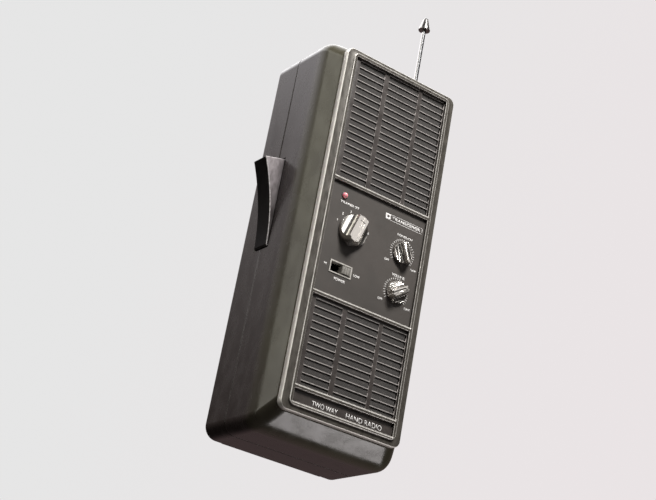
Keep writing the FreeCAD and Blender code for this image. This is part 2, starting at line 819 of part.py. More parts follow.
def make_speaker_frame():
    """The pressed frame of the speaker: flange, sloping basket and back ring."""
    y = inside_front
    profile = (
        (speaker_opening, y), (speaker_radius, y), (speaker_radius, y + 1.2), (26.6, y + 1.2),
        (13.0, y + 11.5), (13.0, y + 12.5), (6.0, y + 12.5), (6.0, y + 11.5),
        (12.0, y + 11.5), (25.6, y + 1.2), (speaker_opening, y + 1.0),
    )
    basket = turned(profile, 0, speaker_z)
    windows = []
    for index in range(4):
        angle = math.radians(45 + 90 * index)
        x = 19 * math.cos(angle)
        z = speaker_z + 19 * math.sin(angle)
        windows.append(rod_y(x, z, y + 2.2, y + 12.0, 3.6))
    return cut_all(basket, windows)


def make_speaker_cone():
    """The paper cone with its dust cap, glued to the inside of the frame."""
    y = inside_front
    profile = (
        (25.4, y + 0.4), (25.4, y + 0.9), (7.0, y + 9.5), (5.6, y + 10.8), (5.2, y + 10.8),
        (5.2, y + 9.2), (0.0, y + 7.6), (0.0, y + 7.1), (6.0, y + 8.6), (24.0, y + 0.4),
    )
    return turned(profile, 0, speaker_z)


def make_speaker_magnet():
    """The magnet and back plate of the speaker."""
    y = inside_front + 12.5
    return fuse_all([rod_y(0, speaker_z, y, y + 4.5, 11.5), rod_y(0, speaker_z, y + 4.5, y + 5.7, 10.0)])


def make_microphone():
    """The round microphone capsule, with a ring of sound holes in its face."""
    y = inside_front
    capsule = rod_y(0, microphone_z, y + 1.0, y + 8.0, microphone_radius)
    holes = []
    for index in range(7):
        angle = math.radians(60 * index)
        reach = 3.2 if index < 6 else 0.0
        x = reach * math.cos(angle)
        z = microphone_z + reach * math.sin(angle)
        holes.append(rod_y(x, z, y, y + 2.0, 0.8))
    return cut_all(capsule, holes)


def make_microphone_mount():
    """The rubber cup that holds the microphone against the front wall."""
    y = inside_front
    cup = rod_y(0, microphone_z, y, y + 9.0, microphone_radius + microphone_cup_wall)
    mouth = rod_y(0, microphone_z, y - 1, y + 1.5, microphone_opening)
    seat = rod_y(0, microphone_z, y + 1.0, y + 8.0, microphone_radius)
    back = rod_y(0, microphone_z, y + 7, y + 10, microphone_opening)
    return cut_all(cup, [mouth, seat, back])


def make_circuit_board():
    """The main circuit board, with holes for its four screws."""
    board = box(-board_half_width, board_half_width, board_y0, board_y1, board_z0, board_z1)
    holes = []
    for side in (-1, 1):
        for z in board_screw_z:
            holes.append(rod_y(side * board_screw_x, z, board_y0 - 1, board_y1 + 1, board_screw_radius + 0.2))
    return cut_all(board, holes)


def make_board_screws():
    """The four screws that hold the board to its posts."""
    screws = []
    for side in (-1, 1):
        for z in board_screw_z:
            x = side * board_screw_x
            head = rod_y(x, z, board_y1, board_y1 + 1.4, board_screw_head)
            shank = rod_y(x, z, board_y0 - 6, board_y1, board_screw_radius - 0.03)
            slot = box(x - 3, x + 3, board_y1 + 0.8, board_y1 + 2, z - 0.3, z + 0.3)
            screws.append(head.fuse(shank).cut(slot))
    return screws


def crystal_places():
    """Twelve crystals in two rows: one pair for each of the six channels."""
    places = []
    for z in crystal_rows:
        for column in range(crystal_columns):
            places.append((crystal_first_x + crystal_pitch * column, z))
    return places


def make_crystal_sockets():
    """Two plastic socket strips on the back of the board."""
    strips = []
    x0, x1 = crystal_socket_x
    for z in crystal_rows:
        strips.append(box(x0, x1, board_y1, board_y1 + crystal_socket_height,
                          z - crystal_socket_half_z, z + crystal_socket_half_z))
    return strips


def make_crystals():
    """Flat metal-cased crystals standing in the sockets."""
    cans = []
    across, tall, along = crystal_size
    y0 = board_y1 + crystal_socket_height
    for x, z in crystal_places():
        can = box(x - across / 2, x + across / 2, y0, y0 + tall, z - along / 2, z + along / 2)
        upright = [edge for edge in can.Edges if abs(edge.Length - tall) < 0.01]
        cans.append(can.makeFillet(crystal_corner, upright))
    return cans


def make_transformers():
    """Square screened coils with a tuning core in each top."""
    cans = []
    half = coil_can_half
    y1 = board_y1 + coil_can_height
    for index in range(6):
        x = coil_can_first_x + coil_can_pitch * index
        can = box(x - half, x + half, board_y1, y1, coil_can_z - half, coil_can_z + half)
        cans.append(can.cut(rod_y(x, coil_can_z, y1 - 2, y1 + 1, 1.5)))
    return cans


def make_capacitors():
    """Round electrolytic capacitors standing on the board."""
    cans = []
    groove_y0 = board_y1 + capacitor_height - 1.4
    groove_y1 = groove_y0 + 0.4
    for index, radius in enumerate(capacitor_radii):
        x = capacitor_first_x + capacitor_pitch * index
        can = rod_y(x, capacitor_z, board_y1, board_y1 + capacitor_height, radius)
        inner = radius - 0.25
        outer = radius + 1
        profile = ((inner, groove_y0), (outer, groove_y0), (outer, groove_y1), (inner, groove_y1))
        cans.append(can.cut(turned(profile, x, capacitor_z)))
    return cans


def make_audio_transformer():
    """The audio transformer: a laminated core with its bobbin through the middle."""
    core = box(-12, 6, board_y1, board_y1 + 11, 120, 135)
    bobbin = box(-9, 3, board_y1 + 1.5, board_y1 + 9.5, 117.5, 137.5)
    return core.fuse(bobbin).removeSplitter()


def make_heat_sink():
    """A finned aluminium heat sink for the output transistor."""
    plate = box(9, 23, board_y1, board_y1 + 1.6, 118, 136)
    fins = []
    for index in range(5):
        x = 9 + 3.1 * index
        fins.append(box(x, x + 1.2, board_y1, board_y1 + 8, 118, 124))
    return fuse_all([plate] + fins)


def make_output_transistor():
    """The output transistor bolted flat on its heat sink."""
    y = board_y1 + 1.6
    tab = box(11, 21, y, y + 1.3, 125, 135.5)
    body = box(11.2, 20.8, y, y + 4.4, 125, 131.5)
    return fuse_all([tab, body]).cut(rod_y(16, 133.5, y - 1, y + 3, 1.4))


def make_loading_coil():
    """The antenna loading coil: a former with a row of windings."""
    z0, z1 = loading_coil_z
    x = loading_coil_x
    y = board_y1 + loading_coil_lift
    former = rod_z(x, y, z0, z1, 2.6)
    turns = []
    for index in range(loading_coil_turns):
        z = z0 + 3 + loading_coil_pitch * index
        turns.append(Part.makeTorus(3.1, 0.55, V(x, y, z), V(0, 0, 1)))
    return fuse_all([former] + turns)


def cell_places():
    """The axis positions of the cell columns."""
    first = -(cell_columns - 1) / 2 * cell_pitch
    return [first + cell_pitch * column for column in range(cell_columns)]


def make_cells():
    """Eight round cells in four columns of two, each with its contact button."""
    cells = []
    for column, x in enumerate(cell_places()):
        up = column % 2 == 0
        for floor in cell_floors:
            can = rod_z(x, cell_y, floor, floor + cell_length - 1, cell_radius)
            cap_z = floor + cell_length - 1 if up else floor - 1
            cells.append(can.fuse(rod_z(x, cell_y, cap_z, cap_z + 1, 2.6)))
    return cells


def make_battery_holder():
    """The open tray that holds the cells, with a cradle rib between the columns."""
    tray = box(-tray_half_width, tray_half_width, tray_y0, tray_y1, tray_z0, tray_z1)
    inner_half = tray_half_width - tray_wall
    hollow = box(-inner_half, inner_half, tray_y0 + tray_wall, tray_y1 + 1,
                 tray_z0 + tray_wall, tray_z1 - tray_wall)
    tray = tray.cut(hollow)
    ribs = []
    for column in range(cell_columns - 1):
        x = (cell_places()[column] + cell_places()[column + 1]) / 2
        ribs.append(box(x - 0.8, x + 0.8, tray_y0 + 1, tray_y0 + 3.4, tray_z0 + 1, tray_z1 - 1))
    return fuse_all([tray] + ribs)


def make_battery_contacts():
    """Flat contacts at both ends of the tray, one under each column."""
    contacts = []
    half = contact_half
    lower_z = tray_z0 + tray_wall
    upper_z = tray_z1 - tray_wall - contact_sheet
    for x in cell_places():
        for z in (lower_z, upper_z):
            contacts.append(box(x - half, x + half, cell_y - half, cell_y + half, z, z + contact_sheet))
    return contacts


def export(node, shape):
    """Write one node; a list is a group of separate solids."""
    if isinstance(shape, list):
        shape = Part.makeCompound(shape)
    problem = "" if shape.isValid() else "  NOT VALID"
    print(f"{node}: {len(shape.Solids)} solid(s), {shape.Volume:.1f} mm3{problem}")
    shape.exportStep(os.path.join("parts", node + ".step"))


def main():
    os.makedirs("parts", exist_ok=True)
    windows = divider_windows()
    pot_inner = inside_front + pot_shaft_reach
    export("front_case", make_front_case())
    export("rear_case", make_rear_case())
    export("battery_door", make_battery_door())
    export("case_screws", make_case_screws())
    export("bezel_frame", make_bezel_frame())
    export("upper_grille", make_grille(windows[0], upper_rib_top, upper_rib_pitch, upper_rib_count))
    export("lower_grille", make_grille(windows[2], lower_rib_top, lower_rib_pitch, lower_rib_count))
    export("speaker_cloth", make_cloth(windows[0]))
    export("microphone_cloth", make_cloth(windows[2]))
    export("control_panel", make_control_panel())
    export("label_strip", make_label_strip())
    export("control_nuts", make_control_nuts())
    export("channel_knob", make_knob(channel_x, channel_z, channel_knob_radius, channel_knob_height,
                                     channel_bar_width, channel_angle, channel_shaft_radius))
    export("channel_shaft", make_shaft(channel_x, channel_z, channel_shaft_radius, channel_knob_height,
                                       inside_front + channel_shaft_reach))
    export("channel_switch", make_rotary_body(channel_x, channel_z, channel_switch_radius,
                                              channel_switch_depth, channel_bush_radius,
                                              channel_shaft_radius, 6))
    for name, x, z, angle in (("squelch", squelch_x, squelch_z, squelch_angle),
                              ("volume", volume_x, volume_z, volume_angle)):
        export(name + "_knob", make_knob(x, z, small_knob_radius, small_knob_height, small_bar_width,
                                         angle, pot_shaft_radius))
        export(name + "_shaft", make_shaft(x, z, pot_shaft_radius, small_knob_height, pot_inner))
        export(name + "_control", make_rotary_body(x, z, pot_radius, pot_depth, pot_bush_radius,
                                                   pot_shaft_radius, 3))
    export("power_switch_frame", make_switch_frame())
    export("power_slider", make_slider())
    export("power_switch", make_switch_body())
    export("indicator_lamp", make_lamp())
    export("lamp_holder", make_lamp_holder())
    export("ptt_lever", make_ptt_lever())
    export("ptt_pin", make_ptt_pin())
    export("ptt_bracket", make_ptt_bracket())
    export("ptt_switch", make_ptt_switch())
    export("ptt_spring", make_ptt_spring())
    export("antenna_bush", make_antenna_bush())
    export("antenna_tube", make_antenna_section(0))
    for index in range(1, antenna_sections + 1):
        export(f"antenna_section_{index}", make_antenna_section(index))
    export("antenna_rod", make_antenna_rod())
    export("antenna_tip", make_antenna_tip())
    export("antenna_clamp", make_antenna_clamp())
    export("speaker_frame", make_speaker_frame())
    export("speaker_cone", make_speaker_cone())
    export("speaker_magnet", make_speaker_magnet())
    export("microphone", make_microphone())
    export("microphone_mount", make_microphone_mount())
    export("circuit_board", make_circuit_board())
    export("board_screws", make_board_screws())
    export("crystal_sockets", make_crystal_sockets())
    export("crystals", make_crystals())
    export("coil_cans", make_transformers())
    export("capacitors", make_capacitors())
    export("audio_transformer", make_audio_transformer())
    export("heat_sink", make_heat_sink())
    export("output_transistor", make_output_transistor())
    export("loading_coil", make_loading_coil())
    export("battery_holder", make_battery_holder())
    export("battery_cells", make_cells())
    export("battery_contacts", make_battery_contacts())


main()
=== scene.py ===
import json
import math

import bmesh
import bpy
from mathutils import Matrix, Vector


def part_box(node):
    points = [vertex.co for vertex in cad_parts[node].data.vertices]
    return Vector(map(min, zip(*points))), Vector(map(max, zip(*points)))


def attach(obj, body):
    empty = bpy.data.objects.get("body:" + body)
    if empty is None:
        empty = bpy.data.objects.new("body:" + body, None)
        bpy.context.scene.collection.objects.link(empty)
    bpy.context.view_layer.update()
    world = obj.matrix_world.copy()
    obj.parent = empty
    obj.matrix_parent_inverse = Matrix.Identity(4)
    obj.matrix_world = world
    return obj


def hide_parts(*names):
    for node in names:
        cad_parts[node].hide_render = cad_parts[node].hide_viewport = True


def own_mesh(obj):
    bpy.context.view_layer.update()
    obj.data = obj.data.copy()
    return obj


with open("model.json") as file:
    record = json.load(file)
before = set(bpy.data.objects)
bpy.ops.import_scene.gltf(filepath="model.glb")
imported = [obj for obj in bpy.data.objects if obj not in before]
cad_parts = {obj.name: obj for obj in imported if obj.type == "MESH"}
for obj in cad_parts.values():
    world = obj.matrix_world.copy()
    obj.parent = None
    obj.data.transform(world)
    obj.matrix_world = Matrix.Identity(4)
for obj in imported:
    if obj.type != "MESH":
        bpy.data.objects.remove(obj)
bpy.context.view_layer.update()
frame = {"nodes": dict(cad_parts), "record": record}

# A handheld two-way radio. Lengths are millimetres in the part's own frame, turned into metres as each mesh
# is made: +X right, +Z up, the front faces -Y, and the base of the case stands at z = 0.

MM = 0.001
scene = bpy.context.scene


# ======== places read from the frame

def node_box(*nodes):
    """The lowest and highest corner of one or more CAD nodes, in millimetres."""
    corners = [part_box(node) for node in nodes]
    low = [min(box[0][axis] for box in corners) / MM for axis in range(3)]
    high = [max(box[1][axis] for box in corners) / MM for axis in range(3)]
    return Vector(low), Vector(high)


def node_centre(node):
    """The middle of a CAD node's box, in millimetres."""
    low, high = node_box(node)
    return (low + high) / 2


case_high = node_box("front_case", "rear_case")[1]
case_half = case_high.x
case_top = case_high.z
case_front = node_box("front_case")[0].y
case_rear = case_high.y
seam_y = node_box("rear_case")[0].y
bezel_low, bezel_high = node_box("bezel_frame")
ridge_y = bezel_low.y
inlay_y = node_box("control_panel")[0].y
upper_low, upper_high = node_box("upper_grille")
panel_low, panel_high = node_box("control_panel")
lower_low, lower_high = node_box("lower_grille")
strip_low, strip_high = node_box("label_strip")
slots = {part["node"]: part["material_slot"] for part in frame["record"]["subparts"]}

# ---- case ----
wall = 2.4
skin = 0.0001
corner_radius = 7.0
border_depth = 11.2
border_back = case_front + border_depth
border_side = 6.0
border_top = 6.2
border_base = 9.7
border_soft_radius = 14.0
rear_edge_radius = 2.5
seam_chamfer = 0.28
seam_floor = 0.5

# ---- bezel ----
rim_y = case_front - 3.4
rim_round = 0.8
rim_corner = 4.0
ridge_half = 32.0
ridge_base = 12.9
ridge_top = 205.9
ridge_corner = 3.0
ridge_bevel = 0.36
window_corner = 0.15
# Width and step of the strip round each window; under a window it carries a painted highlight line.
line_width = 0.42
line_step = 0.02

# ---- louvres ----
louvre_columns = ((-26.9, -10.6), (-7.6, 12.2), (14.7, 29.7))
rib_height = 0.5
upper_ribs = (203.4, 3.765, 18)
lower_ribs = (68.65, 3.855, 12)
rib_upper_bevel = 0.16
rib_lower_bevel = 0.06
rib_end_bevel = 0.14
louvre_depth = 0.6
grille_margin = 0.5

# ---- openings of the shells ----
shaft_holes = {"channel_shaft": 3.4, "squelch_shaft": 2.8, "volume_shaft": 2.8, "lamp_holder": 2.6,
               "speaker_frame": 26.0, "microphone": 6.0}
slide_hole_half_x = 6.5
slide_hole_half_z = 3.1
lever_slot_z = (97.9, 149.4)
lever_slot_gap = 0.7
antenna_hole = 4.85
screw_recess_radius = 2.7
screw_recess_depth = 1.5
screw_inset = 2.5

# ---- push-to-talk lever: points (x, z) of its hollow outer edge, and its lower and upper ends ----
lever_tip = Vector((-53.5, 145.8))
lever_waist = Vector((-45.9, 122.8))
lever_foot = Vector((-42.9, 99.3))
lever_low = 98.4
lever_high = 148.5

# ---- return spring ----
spring_wire = 0.3
spring_turns = 5.5

# ---- battery door ----
door_gap = 0.2
door_rail = 1.2
door_thickness = 2.0
bay_half = 29.4
bay_base = 5.0
grip_base = 14.0
grip_count = 5
grip_pitch = 3.0


# ======== mesh helpers

def rounded_rectangle(half_x, z0, z1, radius, steps=8):
    """Points (x, z) of an upright rectangle with round corners, anticlockwise seen from the front."""
    radius = max(radius, 0.05)
    centres = (
        (half_x - radius, z0 + radius, -90),
        (half_x - radius, z1 - radius, 0),
        (-half_x + radius, z1 - radius, 90),
        (-half_x + radius, z0 + radius, 180),
    )
    points = []
    for centre_x, centre_z, first in centres:
        for step in range(steps + 1):
            angle = math.radians(first + 90 * step / steps)
            points.append((centre_x + radius * math.cos(angle), centre_z + radius * math.sin(angle)))
    return points


def add_ring(bm, points):
    """A closed ring of vertices."""
    return [bm.verts.new(point) for point in points]


def join_rings(bm, first, second):
    """A band of quads between two rings with the same number of vertices."""
    count = len(first)
    for index in range(count):
        following = (index + 1) % count
        bm.faces.new((first[index], first[following], second[following], second[index]))


def loft(bm, rings, closed=False):
    """Quads through a series of point rings, with flat ends unless the series closes on itself."""
    made = [add_ring(bm, ring) for ring in rings]
    for first, second in zip(made, made[1:]):
        join_rings(bm, first, second)
    if closed:
        join_rings(bm, made[-1], made[0])
        return
    bm.faces.new(made[0])
    bm.faces.new(list(reversed(made[-1])))


def outline_rings(stations, steps=8):
    """Rings in planes of constant y, from (half_x, z0, z1, radius, y) stations."""
    rings = []
    for half_x, z0, z1, radius, y in stations:
        rings.append([(x, y, z) for x, z in rounded_rectangle(half_x, z0, z1, radius, steps)])
    return rings


def turned(bm, profile, centre, axis, segments=64, closed=True):
    """A solid of revolution from (radius, distance along the axis) points; closed joins last to first."""
    basis = {
        "Y": (Vector((1, 0, 0)), Vector((0, 0, 1)), Vector((0, 1, 0))),
        "Z": (Vector((1, 0, 0)), Vector((0, 1, 0)), Vector((0, 0, 1))),
    }[axis]
    across, up, along = basis
    rings = []
    for radius, distance in profile:
        ring = []
        for step in range(segments):
            angle = 2 * math.pi * step / segments
            offset = across * (radius * math.cos(angle)) + up * (radius * math.sin(angle))
            ring.append(Vector(centre) + offset + along * distance)
        rings.append(ring)
    loft(bm, rings, closed)


def block(bm, x0, x1, y0, y1, z0, z1):
    """A block between two opposite corners."""
    made = bmesh.ops.create_cube(bm, size=1.0)["verts"]
    bmesh.ops.scale(bm, vec=(x1 - x0, y1 - y0, z1 - z0), verts=made)
    bmesh.ops.translate(bm, vec=((x0 + x1) / 2, (y0 + y1) / 2, (z0 + z1) / 2), verts=made)
    return made


def extruded(bm, points, y0, y1):
    """An outline of (x, z) points carried from y0 to y1."""
    loft(bm, [[(x, y0, z) for x, z in points], [(x, y1, z) for x, z in points]])


def quarter_round(radius, steps=6):
    """Pairs (inwards, along) for a rounded edge that starts on the side and ends on the face."""
    pairs = []
    for step in range(steps + 1):
        angle = math.radians(90 * step / steps)
        pairs.append((radius * (1 - math.cos(angle)), radius * math.sin(angle)))
    return pairs


def object_from(bm, name):
    """A Blender object in metres from a bmesh in millimetres."""
    bmesh.ops.remove_doubles(bm, verts=bm.verts, dist=0.0004)
    bmesh.ops.recalc_face_normals(bm, faces=bm.faces)
    bmesh.ops.scale(bm, vec=(MM, MM, MM), verts=bm.verts)
    mesh = bpy.data.meshes.new(name)
    bm.to_mesh(mesh)
    bm.free()
    mesh.shade_smooth()
    made = bpy.data.objects.new(name, mesh)
    scene.collection.objects.link(made)
    return made


def apply_modifiers(piece):
    """Keep the mesh that the piece's modifiers make, and drop the modifiers."""
    bpy.context.view_layer.update()
    evaluated = piece.evaluated_get(bpy.context.evaluated_depsgraph_get())
    mesh = bpy.data.meshes.new_from_object(evaluated)
    piece.modifiers.clear()
    piece.data = mesh


def cut(piece, tool_bm):
    """Take the volume of a second bmesh out of a piece."""
    tool = object_from(tool_bm, "cutter")
    modifier = piece.modifiers.new("cut", "BOOLEAN")
    modifier.operation = "DIFFERENCE"
    modifier.solver = "EXACT"
    modifier.use_self = True
    modifier.object = tool
    apply_modifiers(piece)
    bpy.data.objects.remove(tool)


def soften(piece, width, segments=2, angle=35, clamp=True):
    """Round the sharp edges by a width in millimetres and keep the broad faces flat."""
    if width:
        weld = piece.modifiers.new("weld", "WELD")
        weld.merge_threshold = 0.002 * MM
        bevel = piece.modifiers.new("soften", "BEVEL")
        bevel.width = width * MM
        bevel.segments = segments
        bevel.limit_method = "ANGLE"
        bevel.angle_limit = math.radians(angle)
        bevel.use_clamp_overlap = clamp
        bevel.harden_normals = False
    weighted = piece.modifiers.new("weighted", "WEIGHTED_NORMAL")
    weighted.keep_sharp = True
    weighted.weight = 60
    apply_modifiers(piece)


def place(piece, finish, body, *nodes):
    """Give a piece its finish, the body it moves with and the CAD nodes it stands for."""
    piece.data.materials.clear()
    piece.data.materials.append(finishes[finish])
    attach(piece, body)
    if nodes:
        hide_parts(*nodes)


def finished(bm, name, finish, body, *nodes):
    """A smooth piece, made and placed in one step from a bmesh that has its rounded edges already."""
    piece = object_from(bm, name)
    soften(piece, 0.0)
    place(piece, finish, body, *nodes)
    return piece


def paint_faces(piece, finish, chosen):
    """Give another finish to the faces that a test of their centre, in millimetres, and normal picks."""
    piece.data.materials.append(finishes[finish])
    index = len(piece.data.materials) - 1
    for face in piece.data.polygons:
        if chosen(face.center / MM, face.normal):
            face.material_index = index


# ======== material helpers

class Graph:
    """A shader node tree and the sums that are made in it."""

    def __init__(self, tree):
        self.nodes = tree.nodes
        self.links = tree.links

    def feed(self, socket, value):
        """Link a socket to an input, or set a number or a colour on it."""
        if isinstance(value, tuple):
            socket.default_value = (*value, 1.0)
        elif isinstance(value, (int, float)):
            socket.default_value = value
        else:
            self.links.new(value, socket)

    def math(self, operation, first, second):
        """A math node on two sockets or numbers."""
        node = self.nodes.new("ShaderNodeMath")
        node.operation = operation
        self.feed(node.inputs[0], first)
        self.feed(node.inputs[1], second)
        return node.outputs[0]

    def span(self, source, low, high, to_low=0.0, to_high=1.0):
        """A smooth map of a value from one span to another."""
        node = self.nodes.new("ShaderNodeMapRange")
        node.interpolation_type = "SMOOTHSTEP"
        for name, value in (("From Min", low), ("From Max", high), ("To Min", to_low), ("To Max", to_high)):
            node.inputs[name].default_value = value
        self.links.new(source, node.inputs["Value"])
        return node.outputs["Result"]

    def blend(self, factor, first, second):
        """Mix two colours, each a tuple or a socket."""
        node = self.nodes.new("ShaderNodeMix")
        node.data_type = "RGBA"
        self.links.new(factor, node.inputs[0])
        self.feed(node.inputs[6], first)
        self.feed(node.inputs[7], second)
        return node.outputs[2]

    def split(self, source):
        """The X, Y and Z outputs of a vector."""
        node = self.nodes.new("ShaderNodeSeparateXYZ")
        self.links.new(source, node.inputs["Vector"])
        return node.outputs


class Finish(Graph):
    """A material under construction: one Principled shader driven by procedural texture."""

    def __init__(self, name):
        self.material = bpy.data.materials.new(name)
        self.material.use_nodes = True
        super().__init__(self.material.node_tree)
        self.shader = self.nodes["Principled BSDF"]
        place_of = self.nodes.new("ShaderNodeTexCoord")
        self.where = self.mapped(place_of.outputs["Object"], "Scale", (1 / MM, 1 / MM, 1 / MM))

    def mapped(self, source, name, value):
        """A vector scaled or turned by a mapping node."""
        node = self.nodes.new("ShaderNodeMapping")
        node.inputs[name].default_value = value
        self.links.new(source, node.inputs["Vector"])
        return node.outputs["Vector"]

    def set(self, **values):
        """Constant shader inputs, set on the shader's own sockets."""
        for name, value in values.items():
            self.shader.inputs[name.replace("_", " ")].default_value = value

    def noise(self, size, detail=4.0, roughness=0.55, stretch=None):
        """Noise whose features are about size millimetres, optionally stretched."""
        node = self.nodes.new("ShaderNodeTexNoise")
        node.inputs["Scale"].default_value = 1.0 / size
        node.inputs["Detail"].default_value = detail
        node.inputs["Roughness"].default_value = roughness
        source = self.mapped(self.where, "Scale", stretch) if stretch else self.where
        self.links.new(source, node.inputs["Vector"])
        return node.outputs["Fac"]

    def wave(self, period, turn):
        """Straight bands of the given period in millimetres, turned about Y by an angle in degrees."""
        node = self.nodes.new("ShaderNodeTexWave")
        node.bands_direction = "X"
        node.inputs["Scale"].default_value = math.pi / (10.0 * period)
        node.inputs["Distortion"].default_value = 1.2
        node.inputs["Detail"].default_value = 1.0
        node.inputs["Detail Scale"].default_value = 2.0
        turned_place = self.mapped(self.where, "Rotation", (0.0, math.radians(turn), 0.0))
        self.links.new(turned_place, node.inputs["Vector"])
        return node.outputs["Fac"]

    def edges(self, radius):
        """Where the surface turns sharply within a radius in millimetres: 1 on worn edges, 0 on flats."""
        bevel = self.nodes.new("ShaderNodeBevel")
        bevel.samples = 6
        bevel.inputs["Radius"].default_value = radius * MM
        geometry = self.nodes.new("ShaderNodeNewGeometry")
        product = self.nodes.new("ShaderNodeVectorMath")
        product.operation = "DOT_PRODUCT"
        self.links.new(bevel.outputs["Normal"], product.inputs[0])
        self.links.new(geometry.outputs["True Normal"], product.inputs[1])
        turn = self.math("SUBTRACT", 1.0, product.outputs["Value"])
        return self.span(turn, 0.02, 0.22)

    def along(self, axis):
        """The place along an axis, in millimetres."""
        return self.split(self.where)[axis]

    def worn(self, colour, radius, patches, low, least, most, bare):
        """Show a bare colour on the edges, here and there as the patches go."""
        wear = self.math("MULTIPLY", self.edges(radius), self.span(patches, low, 0.7, least, most))
        return self.blend(wear, colour, bare)

    def surface(self, colour, gloss, rough, relief=None, depth=0.0):
        """Drive the colour, and the roughness between two values, and raise a relief in millimetres."""
        self.links.new(colour, self.shader.inputs["Base Color"])
        self.links.new(self.span(gloss, 0.3, 0.7, *rough), self.shader.inputs["Roughness"])
        if relief:
            node = self.nodes.new("ShaderNodeBump")
            node.inputs["Strength"].default_value = 1.0
            node.inputs["Distance"].default_value = depth * MM
            self.links.new(relief, node.inputs["Height"])
            self.links.new(node.outputs["Normal"], self.shader.inputs["Normal"])
        return self.material


def mottled(name, dark, light, rough, patch, grain, relief, streak=None, worn=None, metal=0.0, specular=0.5):
    """Patches and fine grain vary a finish's colour and gloss. Its edges can be worn, and it can be metal."""
    finish = Finish(name)
    patches = finish.noise(patch, 5.0, 0.6, (1.0, 1.0, streak) if streak else None)
    fine = finish.noise(grain, 3.0, 0.5)
    mixed = finish.math("ADD", finish.math("MULTIPLY", patches, 0.75), finish.math("MULTIPLY", fine, 0.25))
    colour = finish.blend(finish.span(mixed, 0.35, 0.65), dark, light)
    if worn:
        colour = finish.worn(colour, 0.6, patches, 0.35, 0.25, 1.0, worn)
    finish.set(Metallic=metal, Specular_IOR_Level=specular)
    return finish.surface(colour, mixed, rough, fine, relief)


def case_finish():
    """Dark glossy case plastic: faint patches, a lighter olive tint round the front border that is partly its
    tone and partly a painted sheen, and rubbed edges.
    """
    finish = Finish("case_plastic")
    patches = finish.noise(7.0, 4.0, 0.55, (1.0, 1.0, 0.6))
    cloud = finish.noise(30.0, 3.0, 0.5, (1.0, 1.0, 0.5))
    body = finish.blend(finish.span(patches, 0.35, 0.65), (0.026, 0.019, 0.018), (0.040, 0.031, 0.030))
    # Painted sheen: the sloping front border is tinted a lighter olive, partly the case's tone and partly
    # standing in for the light it catches.
    border = finish.span(finish.along("Y"), border_back + 8, border_back + 1)
    painted_border_sheen = finish.math("MULTIPLY", border, finish.span(cloud, 0.35, 0.6, 0.55, 1.0))
    border_sheen_tinted = finish.blend(painted_border_sheen, body, (0.072, 0.066, 0.044))
    colour = finish.worn(border_sheen_tinted, 0.9, patches, 0.4, 0.15, 0.8, (0.11, 0.10, 0.088))
    finish.set(IOR=1.52)
    return finish.surface(colour, patches, (0.20, 0.30), finish.noise(3.5, 2.0, 0.4), 0.006)


def cloth_finish():
    """Coarse dark grille cloth: two crossed diagonal sets of threads with light flecks."""
    finish = Finish("grille_cloth")
    woven = finish.math("MULTIPLY", finish.wave(0.62, 38.0), finish.wave(0.62, -38.0))
    flecks = finish.noise(0.7, 4.0, 0.7)
    patches = finish.noise(9.0, 3.0, 0.5)
    thread = finish.blend(finish.span(woven, 0.05, 0.75), (0.014, 0.012, 0.011), (0.105, 0.092, 0.085))
    flecked = finish.blend(finish.span(flecks, 0.54, 0.72, 0.0, 0.7), thread, (0.17, 0.152, 0.142))
    colour = finish.blend(finish.span(patches, 0.4, 0.65, 0.0, 0.35), flecked, (0.018, 0.016, 0.013))
    finish.set(Sheen_Weight=0.2)
    return finish.surface(colour, flecks, (0.7, 0.95), woven, 0.12)


def panel_finish():
    """Matt grey-brown paint with a fine orange-peel and a faint cloudiness."""
    finish = Finish("panel_paint")
    cloud = finish.noise(30.0, 3.0, 0.5)
    fine = finish.noise(0.25, 3.0, 0.6)
    scuffs = finish.noise(3.0, 6.0, 0.7)
    base = finish.blend(finish.span(cloud, 0.35, 0.65), (0.058, 0.051, 0.045), (0.071, 0.061, 0.054))
    colour = finish.blend(finish.span(scuffs, 0.55, 0.75, 0.0, 0.22), base, (0.050, 0.044, 0.040))
    return finish.surface(colour, scuffs, (0.46, 0.62), fine, 0.01)


def lamp_finish():
    """Pink-red moulded lens, milky and glossy, with a faint painted glow that stands in for its highlight."""
    finish = Finish("lamp_lens")
    cloud = finish.noise(0.8, 3.0, 0.5)
    finish.set(Subsurface_Weight=0.5, Subsurface_Scale=0.001, Coat_Weight=0.6, Coat_Roughness=0.06)
    # Painted glow: a faint emission that brightens the lens like a highlight.
    finish.set(Emission_Color=(1.0, 0.30, 0.34, 1.0), Emission_Strength=0.18)
    colour = finish.blend(cloud, (0.82, 0.26, 0.29), (0.95, 0.50, 0.52))
    return finish.surface(colour, cloud, (0.12, 0.22))


def lever_finish():
    """Grey moulded plastic with painted shade: dark at the foot and paler towards its upper end, with bright
    worn edges.
    """
    finish = Finish("lever_plastic")
    low, high = node_box("ptt_lever")
    patches = finish.noise(2.6, 5.0, 0.6, (1.0, 1.0, 0.4))
    fine = finish.noise(0.35, 3.0, 0.5)
    shade = finish.span(patches, 0.35, 0.65)
    # Painted shade: a lit pale grey and a shaded dark grey of the same plastic, blended by height so the
    # lever darkens towards its foot.
    pale = finish.blend(shade, (0.20, 0.178, 0.182), (0.34, 0.305, 0.315))
    dark = finish.blend(shade, (0.045, 0.038, 0.038), (0.085, 0.074, 0.074))
    painted_height_shade = finish.blend(finish.span(finish.along("Z"), low.z + 8, high.z - 4), dark, pale)
    colour = finish.worn(painted_height_shade, 0.6, patches, 0.35, 0.3, 1.0, (0.55, 0.52, 0.51))
    return finish.surface(colour, patches, (0.28, 0.42), fine, 0.01)


